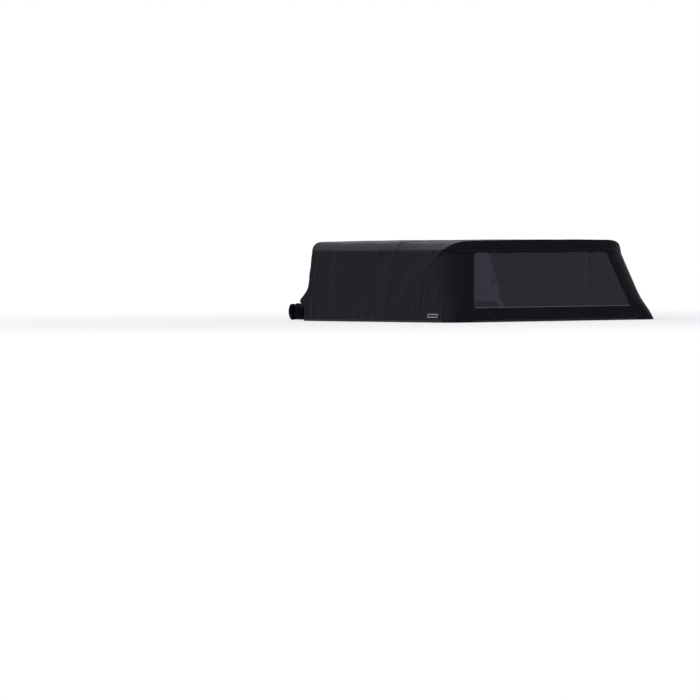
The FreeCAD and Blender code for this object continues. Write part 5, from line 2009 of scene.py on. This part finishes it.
@dataclass(frozen=True)
class Studio:
    """Pale floor, soft light and the camera at the photograph's viewing angle."""

    azimuth: float = -32.64
    elevation: float = 1.038
    roll: float = -0.467
    distance: float = 47.6
    target: tuple[float, float, float] = (-1.141, 0.9, -0.194)
    lens: float = 347.97
    sensor: float = 36.0
    light: float = 1.4
    light_spread: float = 50.0
    light_from: tuple[float, float, float] = (-0.75, 0.35, 0.9)
    surround: float = 0.6
    floor_half: float = 60.0
    floor_drop: float = 0.0015

    def build(self) -> None:
        """Makes the floor, the lights, the world and the camera."""
        self.build_floor()
        self.build_world()
        self.build_lights()
        self.build_camera()

    def build_floor(self) -> None:
        """Makes a wide pale floor just under the rails."""
        work = bmesh.new()
        bmesh.ops.create_grid(work, x_segments=1, y_segments=1, size=self.floor_half)
        bmesh.ops.translate(work, verts=work.verts, vec=(0, 0, -self.floor_drop))
        mesh = bpy.data.meshes.new("floor")
        work.to_mesh(mesh)
        work.free()
        material, tree = blank_material("floor_matt_white")
        place = add_node(tree, "ShaderNodeTexCoord")
        cloud = add_node(tree, "ShaderNodeTexNoise", {"Scale": 0.6, "Detail": 3.0},
                         {"Vector": place.outputs["Object"]})
        tint = add_node(tree, "ShaderNodeMix", {6: linear("#eeeff0"), 7: linear("#f1f1f1")},
                        {"Factor": cloud.outputs["Fac"]}, data_type="RGBA")
        shader = add_node(tree, "ShaderNodeBsdfPrincipled",
                          {"Roughness": 0.9, "Specular IOR Level": 0.0},
                          {"Base Color": tint.outputs[2]})
        white = add_node(tree, "ShaderNodeEmission", {"Color": (1.0, 1.0, 1.0, 1.0)})
        reach = add_node(tree, "ShaderNodeVectorMath", None,
                         {0: place.outputs["Object"]}, operation="LENGTH")
        far = add_node(tree, "ShaderNodeMapRange",
                       {"From Min": 1.6, "From Max": 7.0, "To Min": 0.55, "To Max": 1.0},
                       {"Value": reach.outputs["Value"]}, interpolation_type="SMOOTHSTEP")
        share = add_node(tree, "ShaderNodeMath", None,
                         {0: far.outputs[0], 1: self.seen_ray(tree).outputs[0]},
                         operation="MULTIPLY")
        blend = add_node(tree, "ShaderNodeMixShader", None,
                         {0: share.outputs[0], 1: shader.outputs[0], 2: white.outputs[0]})
        add_node(tree, "ShaderNodeOutputMaterial", None, {"Surface": blend.outputs[0]})
        mesh.materials.append(material)
        floor = bpy.data.objects.new("floor", mesh)
        bpy.context.scene.collection.objects.link(floor)

    def build_world(self) -> None:
        """Makes an even pale surround."""
        world = bpy.data.worlds.new("surround")
        world.use_nodes = True
        tree = world.node_tree
        tree.nodes.clear()
        seen = add_node(tree, "ShaderNodeBackground",
                        {"Color": (1.0, 1.0, 1.0, 1.0), "Strength": 1.0})
        light = add_node(tree, "ShaderNodeBackground",
                         {"Color": linear("#eef2f8"), "Strength": self.surround})
        blend = add_node(tree, "ShaderNodeMixShader", None,
                         {0: self.seen_ray(tree).outputs[0], 1: light.outputs[0],
                          2: seen.outputs[0]})
        add_node(tree, "ShaderNodeOutputWorld", None, {"Surface": blend.outputs[0]})
        bpy.context.scene.world = world

    def seen_ray(self, tree: bpy.types.NodeTree) -> bpy.types.Node:
        """Adds the test for rays that show the background: straight, mirrored or let through.

        Args:
            tree: the node tree.

        Returns:
            The node whose first output is 1 for such a ray.
        """
        path = add_node(tree, "ShaderNodeLightPath")
        mirrored = add_node(tree, "ShaderNodeMath", None,
                            {0: path.outputs["Is Camera Ray"], 1: path.outputs["Is Glossy Ray"]},
                            operation="MAXIMUM")
        return add_node(tree, "ShaderNodeMath", None,
                        {0: mirrored.outputs[0], 1: path.outputs["Is Transmission Ray"]},
                        operation="MAXIMUM")

    def build_lights(self) -> None:
        """Makes one broad soft light, high on the left and ahead."""
        data = bpy.data.lights.new("broad_light", "SUN")
        data.energy = self.light
        data.angle = math.radians(self.light_spread)
        lamp = bpy.data.objects.new("broad_light", data)
        bpy.context.scene.collection.objects.link(lamp)
        lamp.rotation_mode = "QUATERNION"
        lamp.rotation_quaternion = (-Vector(self.light_from)).to_track_quat("-Z", "Y")

    def build_camera(self) -> None:
        """Makes the camera that looks as the photograph does."""
        data = bpy.data.cameras.new("camera")
        data.lens = self.lens
        data.sensor_width = self.sensor
        data.clip_end = 400.0
        camera = bpy.data.objects.new("camera", data)
        bpy.context.scene.collection.objects.link(camera)
        turn, tilt = math.radians(self.azimuth), math.radians(self.elevation)
        back = Vector((math.sin(turn) * math.cos(tilt), -math.cos(turn) * math.cos(tilt),
                       math.sin(tilt)))
        target = Vector(self.target) + Vector((0, REAR_FOOT_Y, 0))
        look = (-back).to_track_quat("-Z", "Y")
        spin = Quaternion((0, 0, 1), math.radians(self.roll))
        camera.location = target + back * self.distance
        camera.rotation_mode = "QUATERNION"
        camera.rotation_quaternion = look @ spin
        bpy.context.scene.camera = camera
        bpy.context.scene.view_settings.view_transform = "Standard"


def main() -> None:
    logging.basicConfig(level=logging.INFO)
    finishes = Finishes()
    Metalwork(finishes).build()
    for side in Side:
        SideCloth(side, finishes).build()
    roof = RoofCloth(finishes)
    roof.build()
    RearCloth(finishes, roof).build()
    RolledCurtain(finishes).build()
    Studio().build()


if __name__ == "__main__":
    main()
